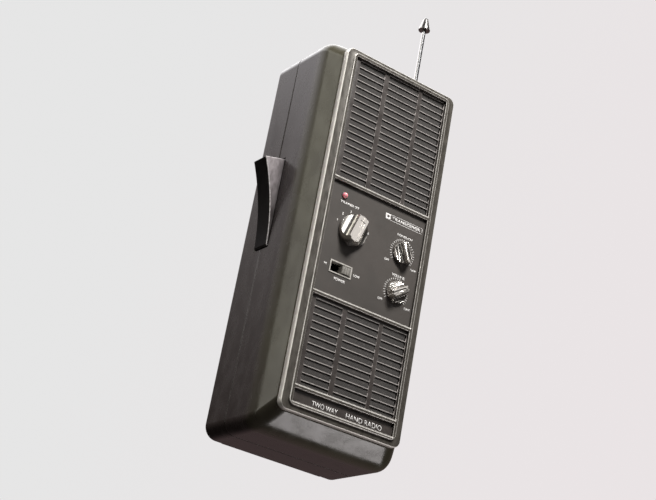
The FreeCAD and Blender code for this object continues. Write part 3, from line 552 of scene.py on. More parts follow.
def sleeve_finish():
    """Printed sleeve of a battery cell: a warm band near one end and fine scuffs."""
    finish = Finish("cell_sleeve")
    cell_pitch = 51.0
    cell = finish.math("MODULO", finish.math("ADD", finish.along("Z"), 44.4), cell_pitch)
    scuffs = finish.noise(1.6, 5.0, 0.6)
    sleeve = finish.blend(finish.span(cell, 12.5, 12.9), (0.42, 0.16, 0.05), (0.045, 0.05, 0.06))
    colour = finish.blend(finish.span(scuffs, 0.6, 0.8, 0.0, 0.5), sleeve, (0.4, 0.38, 0.34))
    return finish.surface(colour, scuffs, (0.25, 0.45), scuffs, 0.01)


def board_finish():
    """Green-brown laminate with faint copper tracks."""
    finish = Finish("board_laminate")
    tracks = finish.math("MULTIPLY", finish.wave(4.2, 0.0), finish.wave(5.7, 90.0))
    fibre = finish.noise(0.6, 4.0, 0.6)
    base = finish.blend(fibre, (0.10, 0.075, 0.028), (0.16, 0.12, 0.045))
    colour = finish.blend(finish.span(tracks, 0.3, 0.42), base, (0.05, 0.09, 0.035))
    return finish.surface(colour, fibre, (0.35, 0.55), tracks, 0.03)


def make_finishes():
    """Every finish by name. The ones that CAD nodes need have the names of the record's material slots."""
    made = {
        "case_plastic": case_finish(),
        "grille_cloth": cloth_finish(),
        "panel_paint": panel_finish(),
        "lamp_lens": lamp_finish(),
        "cell_sleeve": sleeve_finish(),
        "board_laminate": board_finish(),
        "lever_plastic": lever_finish(),
    }

    def plastic(name, *look, **more):
        made[name] = mottled(name, *look, **more)

    def metal(name, *look, **more):
        made[name] = mottled(name, *look, metal=1.0, **more)

    plastic("bezel_plastic", (0.066, 0.059, 0.050), (0.104, 0.094, 0.080), (0.30, 0.46), 2.2, 0.5, 0.012,
            streak=0.4, worn=(0.36, 0.33, 0.30), metal=0.25)
    plastic("silver_trim", (0.62, 0.59, 0.55), (0.90, 0.87, 0.82), (0.24, 0.38), 1.6, 0.3, 0.008,
            streak=0.3, metal=0.2)
    plastic("bright_wall", (0.88, 0.85, 0.79), (0.98, 0.96, 0.91), (0.55, 0.68), 2.4, 0.4, 0.002,
            streak=0.3, metal=0.75)
    plastic("rib_trim", (0.26, 0.24, 0.23), (0.44, 0.41, 0.39), (0.30, 0.44), 1.4, 0.3, 0.004)
    plastic("grille_plastic", (0.040, 0.033, 0.030), (0.066, 0.056, 0.051), (0.30, 0.44), 6.0, 0.5, 0.01,
            worn=(0.42, 0.38, 0.36))
    plastic("switch_frame_metal", (0.50, 0.48, 0.44), (0.78, 0.75, 0.70), (0.25, 0.42), 2.0, 0.3, 0.006,
            metal=0.5)
    plastic("slider_plastic", (0.20, 0.19, 0.17), (0.30, 0.285, 0.26), (0.34, 0.5), 1.2, 0.2, 0.008,
            worn=(0.42, 0.40, 0.37))
    plastic("black_plastic", (0.010, 0.010, 0.010), (0.022, 0.021, 0.020), (0.32, 0.5), 3.0, 0.3, 0.008)
    # Near-black with little gloss: painted shade for the lever's outer face and the shadow in its slot.
    plastic("painted_shade_black", (0.004, 0.003, 0.003), (0.011, 0.009, 0.009), (0.4, 0.6), 3.0, 0.3, 0.006,
            specular=0.08)
    plastic("rubbed_edge", (0.42, 0.39, 0.39), (0.80, 0.76, 0.76), (0.22, 0.36), 1.6, 0.3, 0.005)
    plastic("rubber_parts", (0.012, 0.012, 0.012), (0.028, 0.027, 0.026), (0.6, 0.85), 2.0, 0.3, 0.02)
    plastic("speaker_paper", (0.020, 0.018, 0.016), (0.045, 0.040, 0.036), (0.8, 0.95), 3.0, 0.4, 0.05)
    plastic("capacitor_sleeve", (0.03, 0.05, 0.14), (0.05, 0.08, 0.20), (0.25, 0.4), 4.0, 0.4, 0.01)
    plastic("print_white", (0.84, 0.82, 0.80), (0.95, 0.93, 0.91), (0.5, 0.7), 1.2, 0.2, 0.004)
    metal("knob_metal", (0.66, 0.63, 0.59), (0.76, 0.73, 0.69), (0.20, 0.27), 9.0, 0.25, 0.0015,
          streak=0.15, worn=(0.90, 0.88, 0.85))
    metal("bright_steel", (0.42, 0.41, 0.40), (0.62, 0.61, 0.59), (0.22, 0.40), 2.0, 0.2, 0.005)
    metal("switch_metal", (0.075, 0.070, 0.060), (0.13, 0.12, 0.105), (0.34, 0.5), 3.0, 0.4, 0.006)
    metal("antenna_chrome", (0.66, 0.66, 0.67), (0.82, 0.82, 0.83), (0.07, 0.16), 6.0, 0.4, 0.002,
          streak=0.1)
    metal("antenna_tip_metal", (0.30, 0.29, 0.28), (0.42, 0.41, 0.40), (0.20, 0.32), 2.0, 0.3, 0.003,
          worn=(0.60, 0.58, 0.56))
    metal("magnet_iron", (0.16, 0.16, 0.16), (0.26, 0.26, 0.26), (0.4, 0.6), 4.0, 0.5, 0.02)
    metal("microphone_metal", (0.45, 0.45, 0.44), (0.62, 0.62, 0.60), (0.25, 0.4), 3.0, 0.3, 0.01)
    metal("fin_aluminium", (0.55, 0.56, 0.57), (0.72, 0.73, 0.74), (0.3, 0.5), 3.0, 0.3, 0.01)
    metal("coil_copper", (0.50, 0.22, 0.10), (0.72, 0.36, 0.18), (0.2, 0.35), 2.0, 0.3, 0.01)
    return made


finishes = make_finishes()


# ======== case

def border_inset(y, border):
    """How far a side stands in at a given y: a sloping border that eases into the side."""
    slope = math.atan2(border, border_depth)
    tangent = border_soft_radius * math.tan(slope / 2)
    ease_start = border_back + tangent
    ease_end = border_back - tangent * math.cos(slope)
    if y >= ease_start:
        return 0.0
    if y >= ease_end:
        return border_soft_radius - math.sqrt(border_soft_radius ** 2 - (ease_start - y) ** 2)
    return border * (border_back - y) / border_depth


def case_station(y, inset):
    """The outline of the case at y, moved inwards by inset."""
    half_x = case_half - border_inset(y, border_side) - inset
    z0 = border_inset(y, border_base) + inset
    z1 = case_top - border_inset(y, border_top) - inset
    return half_x, z0, z1, max(corner_radius - inset, 1.0), y


def front_case_stations():
    """Stations of the front shell: outside from the front to the seam, then back along the inside."""
    ease_from = border_back - 5.0
    ease_to = border_back + 5.6
    steps = 18
    eased = [ease_from + (ease_to - ease_from) * step / steps for step in range(steps + 1)]
    outside_y = [case_front + 0.5, ease_from - 3.0, *eased]
    outside_y += [seam_y - seam_chamfer - 0.5, seam_y - seam_chamfer]
    places = [(case_front, 0.5), (case_front + 0.15, 0.15)] + [(y, skin) for y in outside_y]
    places += [(seam_y - 0.02, seam_chamfer + 0.05), (seam_y - 0.02, seam_floor + 0.1)]
    inside_y = (seam_y - 0.02, border_back + 5.0, border_back, border_back - 4.0, case_front + 2.8)
    places += [(y, wall) for y in inside_y]
    return [case_station(y, inset) for y, inset in places]


def rear_case_stations():
    """Stations of the rear shell: outside from the rear face to the seam, then along the inside."""
    half_x, z0, z1, radius, _ = case_station(seam_y + 1, skin)
    stations = []
    for inwards, along in reversed(quarter_round(rear_edge_radius, 7)):
        y = case_rear - rear_edge_radius + along
        stations.append((half_x - inwards, z0 + inwards, z1 - inwards, radius - inwards * 0.8, y))
    places = (
        (seam_y + seam_chamfer + 0.5, skin),
        (seam_y + seam_chamfer, skin),
        (seam_y + 0.02, seam_chamfer + 0.05),
        (seam_y + 0.02, seam_floor + 0.1),
        (seam_y + 0.02, wall),
        (case_rear - wall, wall),
    )
    return stations + [case_station(y, inset) for y, inset in places]


def bore(bm, centre, radius, y0, y1, segments=48):
    """A round cutter along Y."""
    turned(bm, ((radius, y0), (radius, y1)), (centre.x, 0, centre.z), "Y", segments, False)


def lever_slot(bm):
    """Cutter for the opening of the push-to-talk lever in the left wall."""
    low, high = node_box("ptt_lever")
    block(bm, -case_half - 2, -case_half + wall + 0.8, low.y - lever_slot_gap, high.y + lever_slot_gap,
          *lever_slot_z)


def make_front_case():
    """The front shell with its openings."""
    bm = bmesh.new()
    loft(bm, outline_rings(front_case_stations(), 10))
    shell = object_from(bm, "front_shell")
    tools = bmesh.new()
    for node, radius in shaft_holes.items():
        bore(tools, node_centre(node), radius, case_front - 2, case_front + 6)
    slide = node_centre("power_switch_frame")
    block(tools, slide.x - slide_hole_half_x, slide.x + slide_hole_half_x, case_front - 2, case_front + 6,
          slide.z - slide_hole_half_z, slide.z + slide_hole_half_z)
    lever_slot(tools)
    tube = node_centre("antenna_tube")
    hole = ((antenna_hole, case_top - 6), (antenna_hole, case_top + 3))
    turned(tools, hole, (tube.x, tube.y, 0), "Z", 48, False)
    cut(shell, tools)
    soften(shell, 0.0)
    place(shell, "case_plastic", "case", "front_case")


def make_rear_case():
    """The rear shell with the opening and ledge of the battery door and the screw recesses."""
    bm = bmesh.new()
    loft(bm, outline_rings(rear_case_stations(), 10))
    shell = object_from(bm, "rear_shell")
    low, high = node_box("battery_door")
    tools = bmesh.new()
    opening = high.x - door_rail + door_gap
    block(tools, -opening, opening, case_rear - door_thickness - door_gap, case_rear + 3, low.z - 5,
          high.z + door_gap)
    cut(shell, tools)
    tools = bmesh.new()
    block(tools, -bay_half, bay_half, case_rear - 6, case_rear + 3, bay_base, high.z - 3.0)
    cut(shell, tools)
    tools = bmesh.new()
    for x, z in screw_places():
        bore(tools, Vector((x, 0, z)), screw_recess_radius, case_rear - screw_recess_depth, case_rear + 2, 40)
    lever_slot(tools)
    cut(shell, tools)
    soften(shell, 0.0)
    place(shell, "case_plastic", "case", "rear_case")


def screw_places():
    """The corners where the case screws sit."""
    low, high = node_box("case_screws")
    return [(x, z) for x in (low.x + screw_inset, high.x - screw_inset)
            for z in (low.z + screw_inset, high.z - screw_inset)]


def make_battery_door():
    """The sliding door with rounded edges and finger grooves."""
    low, high = node_box("battery_door")
    bm = bmesh.new()
    stations = []
    for inwards, along in quarter_round(0.5, 3):
        stations.append((high.x - door_rail - inwards, low.z + inwards, high.z - inwards, 0.8,
                         case_rear - 0.5 + along))
    stations.insert(0, (high.x - door_rail, low.z, high.z, 0.8, case_rear - door_thickness))
    stations = [(half_x, max(z0, 0.35), z1, radius, y) for half_x, z0, z1, radius, y in stations]
    loft(bm, outline_rings(stations, 3))
    door = object_from(bm, "sliding_door")
    tools = bmesh.new()
    for index in range(grip_count):
        z = grip_base + grip_pitch * index
        block(tools, -9, 9, case_rear - 0.7, case_rear + 1, z, z + 1.2)
    cut(door, tools)
    soften(door, 0.18, 2, 60)
    place(door, "case_plastic", "door", "battery_door")


# ======== bezel and grilles

def rounded_edge(outline, radius, face_y, steps, inward=1):
    """Stations round the edge between the sides of an outline and its face; inward is -1 for an opening."""
    half_x, z0, z1, corner = outline
    stations = []
    for across, along in quarter_round(radius, steps):
        shift = inward * across
        stations.append((half_x - shift, z0 + shift, z1 - shift, corner - shift, face_y + radius - along))
    return stations


def make_bezel():
    """The bezel: rounded rim, standing ridge and three dividers around four windows."""
    bm = bmesh.new()
    rim = (bezel_high.x, bezel_low.z, bezel_high.z, rim_corner)
    ridge = (ridge_half, ridge_base, ridge_top, ridge_corner)
    stations = [(*rim, case_front)] + rounded_edge(rim, rim_round, rim_y, 6)
    stations += [(*ridge, rim_y)] + rounded_edge(ridge, ridge_bevel, ridge_y, 3)
    loft(bm, outline_rings(stations, 8))
    bezel = object_from(bm, "bezel")
    tools = bmesh.new()
    for low, high in ((upper_low, upper_high), (panel_low, panel_high), (lower_low, lower_high),
                      (strip_low, strip_high)):
        loft(tools, outline_rings(flared_window(low, high), 2))
    cut(bezel, tools)
    soften(bezel, 0.0)
    place(bezel, "bezel_plastic", "case", "bezel_frame")
    # The silver edges are trim; the line at each window's foot is a painted highlight.
    paint_faces(bezel, "silver_trim", on_silver_trim_and_highlight_line)
    paint_faces(bezel, "bright_wall", on_outer_wall)


def flared_window(low, high):
    """Stations of a window cutter whose mouth rounds outwards to meet the face of the ridge."""
    window = (high.x, low.z, high.z, window_corner)
    stations = [(*window, case_front + 1)] + rounded_edge(window, ridge_bevel, ridge_y, 3, -1)
    mouth = stations.pop()[:4]
    # The step strip round the mouth carries the painted highlight line under each window.
    line_y = ridge_y + line_step
    line = (mouth[0] + line_width, mouth[1] - line_width, mouth[2] + line_width, mouth[3] + line_width)
    return stations + [(*mouth, line_y), (*line, line_y), (*line, ridge_y - 1)]


def on_outer_wall(centre, normal):
    """The silvered outer wall of the bezel, with the start of its rounding."""
    beyond_ridge = abs(centre.x) > ridge_half + 1 or centre.z < ridge_base - 1 or centre.z > ridge_top + 1
    return beyond_ridge and abs(normal.y) < 0.8 and centre.y < case_front - 0.01


def on_silver_trim_and_highlight_line(centre, normal):
    """The silvered edges of the ridge and dividers, and a painted highlight line along the foot of each
    window, on the upper edge below it.
    """
    if centre.y > rim_y - 0.1 or on_outer_wall(centre, normal):
        return False
    under_window = any(0.2 < low.z - centre.z < ridge_bevel + line_width
                       for low in (upper_low, panel_low, lower_low, strip_low))
    # Painted highlight: the flat strip just under each window is silvered to stand for the light caught by
    # the upper edge of the divider below.
    on_highlight_line = abs(centre.y - ridge_y - line_step) < 0.005 and normal.y < -0.97
    return 0.1 < abs(normal.y) < 0.97 or on_highlight_line and under_window


def grille_lines(low, high, ribs):
    """Grid lines of a louvred grille: at the face, where the lips start, and at the back of the walls."""
    first, pitch, count = ribs
    face_x, back_x = [low.x], [low.x]
    for x0, x1 in louvre_columns:
        face_x += [x0 - rib_end_bevel, x1 + rib_end_bevel]
        back_x += [x0, x1]
    face_x.append(high.x)
    back_x.append(high.x)
    face_z, back_z = [low.z], [low.z]
    for row in reversed(range(count)):
        rib = first - row * pitch
        slot_base = max(rib - pitch + rib_height / 2, low.z + grille_margin)
        slot_top = rib - rib_height / 2
        face_z += [slot_base - rib_upper_bevel, slot_top + rib_lower_bevel]
        back_z += [slot_base, slot_top]
    face_z += [first + rib_height / 2, high.z]
    back_z += [first + rib_height / 2, high.z]
    return face_x, back_x, face_z, back_z


def slot_lip(x_pair, z_pair, share):
    """The corners of one ring of a slot's rounded lip; share runs from 0 at the face to 1 at the wall."""
    angle = math.radians(90 * share)
    part = 1 - math.sin(angle)
    y = inlay_y + rib_upper_bevel * (1 - math.cos(angle))
    x0 = x_pair[0] - rib_end_bevel * part
    x1 = x_pair[1] + rib_end_bevel * part
    z0 = z_pair[0] - rib_upper_bevel * part
    z1 = z_pair[1] + rib_lower_bevel * part
    return ((x0, y, z0), (x1, y, z0), (x1, y, z1), (x0, y, z1))


def make_grille(name, node, low, high, ribs):
    """A louvred grille: a plate whose slots have rounded lips, with silvered rib faces."""
    face_x, back_x, face_z, back_z = grille_lines(low, high, ribs)
    back_y = inlay_y + louvre_depth
    bm = bmesh.new()
    face = [[bm.verts.new((x, inlay_y, z)) for z in face_z] for x in face_x]
    back = [[bm.verts.new((x, back_y, z)) for z in back_z] for x in back_x]
    columns, rows = len(face_x) - 1, len(face_z) - 1
    for column in range(columns):
        for row in range(rows):
            corners = ((column, row), (column + 1, row), (column + 1, row + 1), (column, row + 1))
            front_ring = [face[i][j] for i, j in corners]
            back_ring = [back[i][j] for i, j in corners]
            is_column = column % 2 == 1
            if is_column and row % 2 == 1 and row < rows - 1:
                rings = [front_ring]
                for share in (0.25, 0.5, 0.75, 1.0):
                    points = slot_lip(back_x[column:column + 2], back_z[row:row + 2], share)
                    rings.append([bm.verts.new(point) for point in points])
                rings.append(back_ring)
                for first, second in zip(rings, rings[1:]):
                    for side in range(4):
                        following = (side + 1) % 4
                        quad = (first[side], first[following], second[following], second[side])
                        bm.faces.new(quad)
                continue
            bm.faces.new(front_ring)
            bm.faces.new(list(reversed(back_ring)))
    for row in range(rows):
        for column in (0, columns):
            bm.faces.new((face[column][row], face[column][row + 1], back[column][row + 1], back[column][row]))
    for column in range(columns):
        for row in (0, rows):
            bm.faces.new((face[column][row], face[column + 1][row], back[column + 1][row], back[column][row]))
    plate = finished(bm, name, "grille_plastic", "case", node)
    paint_faces(plate, "rib_trim", lambda centre, normal: on_rib_face(centre, normal, ribs))


def on_rib_face(centre, normal, ribs):
    """The silvered faces of the ribs, and the lips above them."""
    first, pitch, count = ribs
    in_column = any(x0 - 0.05 < centre.x < x1 + 0.05 for x0, x1 in louvre_columns)
    from_rib = (first - centre.z + pitch / 2) % pitch - pitch / 2
    in_rows = first - (count - 0.5) * pitch < centre.z < first + rib_height / 2
    return in_column and in_rows and normal.y < -0.3 and abs(from_rib) < rib_height / 2


def make_cloth(name, node):
    """The cloth pad behind a grille, with its threads raised as a fine relief."""
    low, high = node_box(node)
    bm = bmesh.new()
    stations = []
    for inwards, along in quarter_round(0.35, 3):
        stations.append(((high.x - low.x) / 2 - inwards, low.z + inwards, high.z - inwards, 1.0,
                         low.y + 0.35 - along))
    stations.reverse()
    stations.append(((high.x - low.x) / 2, low.z, high.z, 1.0, high.y - 0.02))
    loft(bm, outline_rings(stations, 3))
    finished(bm, name, "grille_cloth", "case", node)


# ======== controls

def make_knob(name, node, shaft_node, radius, height, bar_width, angle, body, shaft_radius):
    """A pointer knob: a skirt, a flat-topped bar between two scooped flanks, and a channel along the bar."""
    base_y = node_box(node)[1].y
    top_y = base_y - height
    taper = radius * 0.1
    centre = node_centre(shaft_node)
    bm = bmesh.new()
    profile = [(radius - 0.25, base_y), (radius, base_y - 0.25)]
    for inwards, along in quarter_round(0.35, 4):
        profile.append((radius - taper - inwards, top_y + 0.35 - along))
    turned(bm, profile, (0, 0, 0), "Y", 96, False)
    knob = object_from(bm, name)
    tools = bmesh.new()
    scoop_radius = height * 0.84
    scoop_x = bar_width / 2 + scoop_radius * 0.99
    axis_y = top_y - scoop_radius * 0.14
    for side in (-1, 1):
        outline = []
        steps = 28
        for step in range(steps + 1):
            turn = math.radians(90 * step / steps)
            x = side * (scoop_x - scoop_radius * math.cos(turn))
            outline.append((x, axis_y + scoop_radius * math.sin(turn)))
        outline.append((side * (scoop_x + 2 * radius), axis_y + scoop_radius))
        outline.append((side * (scoop_x + 2 * radius), top_y - 4))
        outline.append((side * (scoop_x - scoop_radius), top_y - 4))
        reach = 2 * radius
        loft(tools, [[(x, y, -reach) for x, y in outline], [(x, y, reach) for x, y in outline]])
    cut(knob, tools)
    tools = bmesh.new()
    channel = bar_width * 0.27
    block(tools, -channel, channel, top_y - 1, top_y + 0.35, -2 * radius, radius * 0.55)
    block(tools, -0.22, 0.22, top_y - 1, top_y + 0.75, radius * 0.1, 2 * radius)
    socket = shaft_radius + 0.02
    turned(tools, ((socket, top_y + 1.2), (socket, base_y + 1)), (0, 0, 0), "Y", 40, False)
    cut(knob, tools)
    soften(knob, 0.16, 3, 40)
    spin = Matrix.Rotation(math.radians(angle), 4, "Y")
    shift = Matrix.Translation(Vector((centre.x * MM, 0, centre.z * MM)))
    knob.data.transform(shift @ spin)
    place(knob, "knob_metal", body, node)


def make_slider():
    """The sliding button with finger grooves."""
    low, high = node_box("power_slider")
    centre_x = (low.x + high.x) / 2
    half_x = (high.x - low.x) / 2
    half_z = (high.z - low.z) / 2
    centre_z = (low.z + high.z) / 2
    front_y = low.y
    outline = [(-half_x, 0.5), (-half_x + 0.35, 0.0)]
    for index in range(3):
        x = (index - 1) * 1.5
        outline += [(x - 0.36, 0.0), (x - 0.16, 0.42), (x + 0.16, 0.42), (x + 0.36, 0.0)]
    outline += [(half_x - 0.35, 0.0), (half_x, 0.5), (half_x, 4.0), (-half_x, 4.0)]
    bm = bmesh.new()
    near = [(centre_x + x, front_y + y, centre_z - half_z) for x, y in outline]
    far = [(centre_x + x, front_y + y, centre_z + half_z) for x, y in outline]
    loft(bm, [near, far])
    block(bm, centre_x - 1.5, centre_x + 1.5, front_y + 3.9, high.y, centre_z - 1.2, centre_z + 1.2)
    slider = object_from(bm, "slide_button")
    soften(slider, 0.12, 2, 30)
    place(slider, "slider_plastic", "slider", "power_slider")


def make_lamp():
    """The lamp: a clear dome on a collar."""
    centre = node_centre("lamp_holder")
    radius = 1.5
    dome_y = inlay_y - 0.2
    profile = [(0.01, dome_y - radius)]
    for step in range(1, 10):
        angle = math.radians(10 * step)
        profile.append((radius * math.sin(angle), dome_y - radius * math.cos(angle)))
    foot = radius + 0.7
    profile += [(radius, inlay_y + 3.0), (foot, inlay_y + 5.8), (foot, inlay_y + 6.8), (0.5, inlay_y + 6.8)]
    bm = bmesh.new()
    turned(bm, profile, (centre.x, 0, centre.z), "Y", 40, False)
    finished(bm, "lamp_dome", "lamp_lens", "case", "indicator_lamp")
    bm = bmesh.new()
    ring = [(radius + 0.02, inlay_y - 0.02), (radius + 0.08, inlay_y - 0.22), (radius + 0.38, inlay_y - 0.22),
            (radius + 0.48, inlay_y - 0.02)]
    turned(bm, ring, (centre.x, 0, centre.z), "Y", 40, True)
    finished(bm, "lamp_collar", "black_plastic", "case")


def make_lever():
    """The push-to-talk lever: a wedge with a hollow outer edge and rounded corners."""
    low, high = node_box("ptt_lever")
    wall_x = -case_half
    outline = arc_points(lever_tip, lever_waist, lever_foot, 28)
    inner_x = wall_x + wall + 0.9
    outline += [(wall_x + 0.6, lever_low), (inner_x, lever_low), (inner_x, lever_high), (wall_x, lever_high)]
    bm = bmesh.new()
    extruded(bm, outline, low.y, high.y)
    everything = bm.verts[:] + bm.edges[:] + bm.faces[:]
    # Split at the wall's plane, so the root inside the slot can take painted shadow.
    bmesh.ops.bisect_plane(bm, geom=everything, plane_co=(wall_x, 0, 0), plane_no=(1, 0, 0))
    lever = object_from(bm, "talk_lever")
    soften(lever, 0.4, 3, 32, False)
    place(lever, "lever_plastic", "lever", "ptt_lever")
    paint_faces(lever, "rubbed_edge", on_lever_edge)
    # Painted shade: the outer face and the root inside the slot are painted near-black.
    paint_faces(lever, "painted_shade_black", on_painted_shade_face)


def on_lever_edge(centre, normal):
    """The rounded edges round the front face of the lever, rubbed bright."""
    return -0.98 < normal.y < -0.2 and centre.x < -case_half - 0.1


def on_painted_shade_face(centre, normal):
    """Painted shade on the lever: its hollow outer face, black for the shade it lies in, and its root inside
    the slot, black for the shadow in the gap.
    """
    outer_face = normal.x < -0.8 and abs(normal.y) < 0.1
    return outer_face or centre.x > -case_half


def make_spring():
    """The return spring of the lever: a coil along X, built at its rest length; the script does not shorten
    it as the lever is pressed.
    """
    low, high = node_box("ptt_spring")
    centre = node_centre("ptt_spring")
    coil_radius = (high.y - low.y) / 2 - spring_wire
    steps = int(28 * spring_turns)
    rings = []
    for step in range(steps + 1):
        angle = 2 * math.pi * spring_turns * step / steps
        x = low.x + spring_wire + (high.x - low.x - 2 * spring_wire) * step / steps
        ring = []
        for side in range(8):
            turn = math.pi * side / 4
            reach = coil_radius + spring_wire * math.cos(turn)
            ring.append((x + spring_wire * math.sin(turn), centre.y + reach * math.cos(angle),
                         centre.z + reach * math.sin(angle)))
        rings.append(ring)
    bm = bmesh.new()
    loft(bm, rings)
    spring = object_from(bm, "return_spring")
    place(spring, "bright_steel", "case", "ptt_spring")
    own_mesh(spring)


def arc_points(start, middle, end, steps):
    """Points along the circular arc through three points."""
    a, b = middle - start, end - start
    twice_area = 2 * (a.x * b.y - a.y * b.x)
    offset_x = (b.y * a.length_squared - a.y * b.length_squared) / twice_area
    offset_y = (a.x * b.length_squared - b.x * a.length_squared) / twice_area
    centre = start + Vector((offset_x, offset_y))
    radius = (start - centre).length
    first = math.atan2(start.y - centre.y, start.x - centre.x)
    last = math.atan2(end.y - centre.y, end.x - centre.x)
    if last - first > math.pi:
        last -= 2 * math.pi
    if first - last > math.pi:
        last += 2 * math.pi
    points = []
    for step in range(steps + 1):
        angle = first + (last - first) * step / steps
        points.append((centre.x + radius * math.cos(angle), centre.y + radius * math.sin(angle)))
    return points


def make_tip():
    """The flared button of the antenna: a smooth cone with a rounded rim and a small crown."""
    low, high = node_box("antenna_tip")
    centre = node_centre("antenna_tip")
    wide = high.x - centre.x
    narrow = 1.5
    tall = high.z - low.z
    base = low.z + 0.02
    profile = [(1.2, base), (wide - 0.35, base), (wide - 0.08, low.z + 0.18), (wide, low.z + 0.5)]
    profile += [(narrow + 0.15, low.z + tall * 0.86), (narrow - 0.05, low.z + tall * 0.88)]
    profile += [(narrow - 0.1, high.z - 0.35), (narrow - 0.45, high.z), (0.02, high.z)]
    bm = bmesh.new()
    turned(bm, profile, (centre.x, centre.y, 0), "Z", 48, False)
    finished(bm, "antenna_button", "antenna_tip_metal", "antenna_end", "antenna_tip")


def make_bush():
    """The collar round the antenna tube, with a rounded flange."""
    low, high = node_box("antenna_bush")
    centre = node_centre("antenna_bush")
    flange = high.x - centre.x
    hole = 4.02
    profile = [(hole, low.z), (4.8, low.z), (4.8, case_top + 0.01), (flange, case_top + 0.01)]
    for inwards, along in quarter_round(0.9, 5):
        profile.append((flange - inwards, high.z - 0.9 + along))
    profile += [(hole + 0.3, high.z), (hole, high.z - 0.3)]
    bm = bmesh.new()
    turned(bm, profile, (centre.x, centre.y, 0), "Z", 64, True)
    finished(bm, "antenna_collar", "black_plastic", "case", "antenna_bush")


# ======== printed legends

legend_y = inlay_y - 0.012
legend_thickness = 0.03


def add_text(bm, text, x, z, height, width=None, stroke=0.03):
    """Lettering centred on (x, z), of the given height and, if asked, width and extra stroke weight."""
    curve = bpy.data.curves.new("lettering", "FONT")
    curve.body = text
    curve.extrude = 0.5
    curve.offset = stroke
    curve.resolution_u = 3
    holder = bpy.data.objects.new("lettering", curve)
    scene.collection.objects.link(holder)
    bpy.context.view_layer.update()
    mesh = bpy.data.meshes.new_from_object(holder.evaluated_get(bpy.context.evaluated_depsgraph_get()))
    low_x = min(v.co.x for v in mesh.vertices)
    high_x = max(v.co.x for v in mesh.vertices)
    low_y = min(v.co.y for v in mesh.vertices)
    high_y = max(v.co.y for v in mesh.vertices)
    scale_z = height / (high_y - low_y)
    scale_x = width / (high_x - low_x) if width else scale_z
    for vertex in mesh.vertices:
        across, up, out = vertex.co
        vertex.co = (
            x + (across - (low_x + high_x) / 2) * scale_x,
            legend_y - out * legend_thickness,
            z + (up - (low_y + high_y) / 2) * scale_z,
        )
    bm.from_mesh(mesh)
    bpy.data.meshes.remove(mesh)
    bpy.data.objects.remove(holder)
    bpy.data.curves.remove(curve)


def add_bar(bm, x, z, length, width, angle):
    """A printed stroke centred on (x, z); angle is measured clockwise from straight up."""
    deep = legend_thickness / 2
    made = block(bm, -width / 2, width / 2, -deep, deep, -length / 2, length / 2)
    bmesh.ops.rotate(bm, verts=made, cent=(0, 0, 0), matrix=Matrix.Rotation(math.radians(angle), 3, "Y"))
    bmesh.ops.translate(bm, vec=(x, legend_y, z), verts=made)


def around(centre, radius, angle):
    """The place at a clockwise angle from straight up, a radius away from a centre."""
    turn = math.radians(angle)
    return centre.x + radius * math.sin(turn), centre.z + radius * math.cos(turn)


def add_dial(bm, centre, title_z, title, title_width):
    """The ring of ticks round a small knob, with its name above and the ends of its travel."""
    count = 25
    sweep = 125.0
    for index in range(count):
        angle = -sweep + 2 * sweep * index / (count - 1)
        x, z = around(centre, 7.2, angle)
        add_bar(bm, x, z, 1.25, 0.27, angle)
    add_text(bm, title, centre.x, title_z, 1.5, title_width)
    add_text(bm, "OFF", centre.x - 8.8, centre.z - 6.4, 1.3)
    add_text(bm, "MAX", centre.x + 8.5, centre.z - 6.4, 1.3)


def make_panel_legends():
    """Everything printed on the control panel."""
    bm = bmesh.new()
    channel = node_centre("channel_shaft")
    squelch = node_centre("squelch_shaft")
    volume = node_centre("volume_shaft")
    lamp = node_centre("lamp_holder")
    slide = node_centre("power_switch_frame")
    add_text(bm, "TRANSMIT", (lamp.x + channel.x) / 2, lamp.z - 3.7, 1.4, 12.0)
    for index in range(6):
        x, z = around(channel, 10.15, -75 + 30 * index)
        add_text(bm, str(index + 1), x, z, 1.35)
    add_dial(bm, squelch, squelch.z + 9.3, "SQUELCH", 9.9)
    add_dial(bm, volume, volume.z + 8.9, "VOLUME", 8.2)
    add_text(bm, "POWER", slide.x + 0.6, slide.z - 5.8, 1.5)
    add_text(bm, "HI", slide.x - 9.3, slide.z, 1.3)
    add_text(bm, "LOW", slide.x + 10.0, slide.z - 0.3, 1.3)
    label_low, label_high = Vector((4.9, 0, 124.6)), Vector((28.8, 0, 127.7))
    add_frame(bm, label_low, label_high, 0.22)
    emblem = (label_high.z - label_low.z) / 2
    add_emblem(bm, label_low.x + emblem, (label_low.z + label_high.z) / 2, emblem)
    word_x = (label_low.x + 2 * emblem + label_high.x) / 2
    add_text(bm, "TRANSCEIVER", word_x, (label_low.z + label_high.z) / 2, 1.75, 18.6)
    place(object_from(bm, "panel_legends"), "print_white", "case")


def add_frame(bm, low, high, stroke):
    """A printed rectangle outline."""
    middle_x = (low.x + high.x) / 2
    middle_z = (low.z + high.z) / 2
    for z in (low.z, high.z):
        add_bar(bm, middle_x, z, high.x - low.x + stroke, stroke, 90)
    for x in (low.x, high.x):
        add_bar(bm, x, middle_z, high.z - low.z + stroke, stroke, 0)


def add_emblem(bm, x, z, half):
    """A plain printed block with a round window, standing where a badge would be."""
    ring = []
    for step in range(24):
        angle = 2 * math.pi * step / 24
        ring.append((math.cos(angle), math.sin(angle)))
    outer = []
    for across, up in ring:
        reach = half * 1.0 / max(abs(across), abs(up))
        outer.append((x + across * reach, z + up * reach))
    inner = [(x + across * half * 0.42, z + up * half * 0.42) for across, up in ring]
    rings = []
    for points, y in ((outer, legend_y - legend_thickness / 2), (inner, legend_y - legend_thickness / 2),
                      (inner, legend_y + legend_thickness / 2), (outer, legend_y + legend_thickness / 2)):
        rings.append([(px, y, pz) for px, pz in points])
    loft(bm, rings, True)


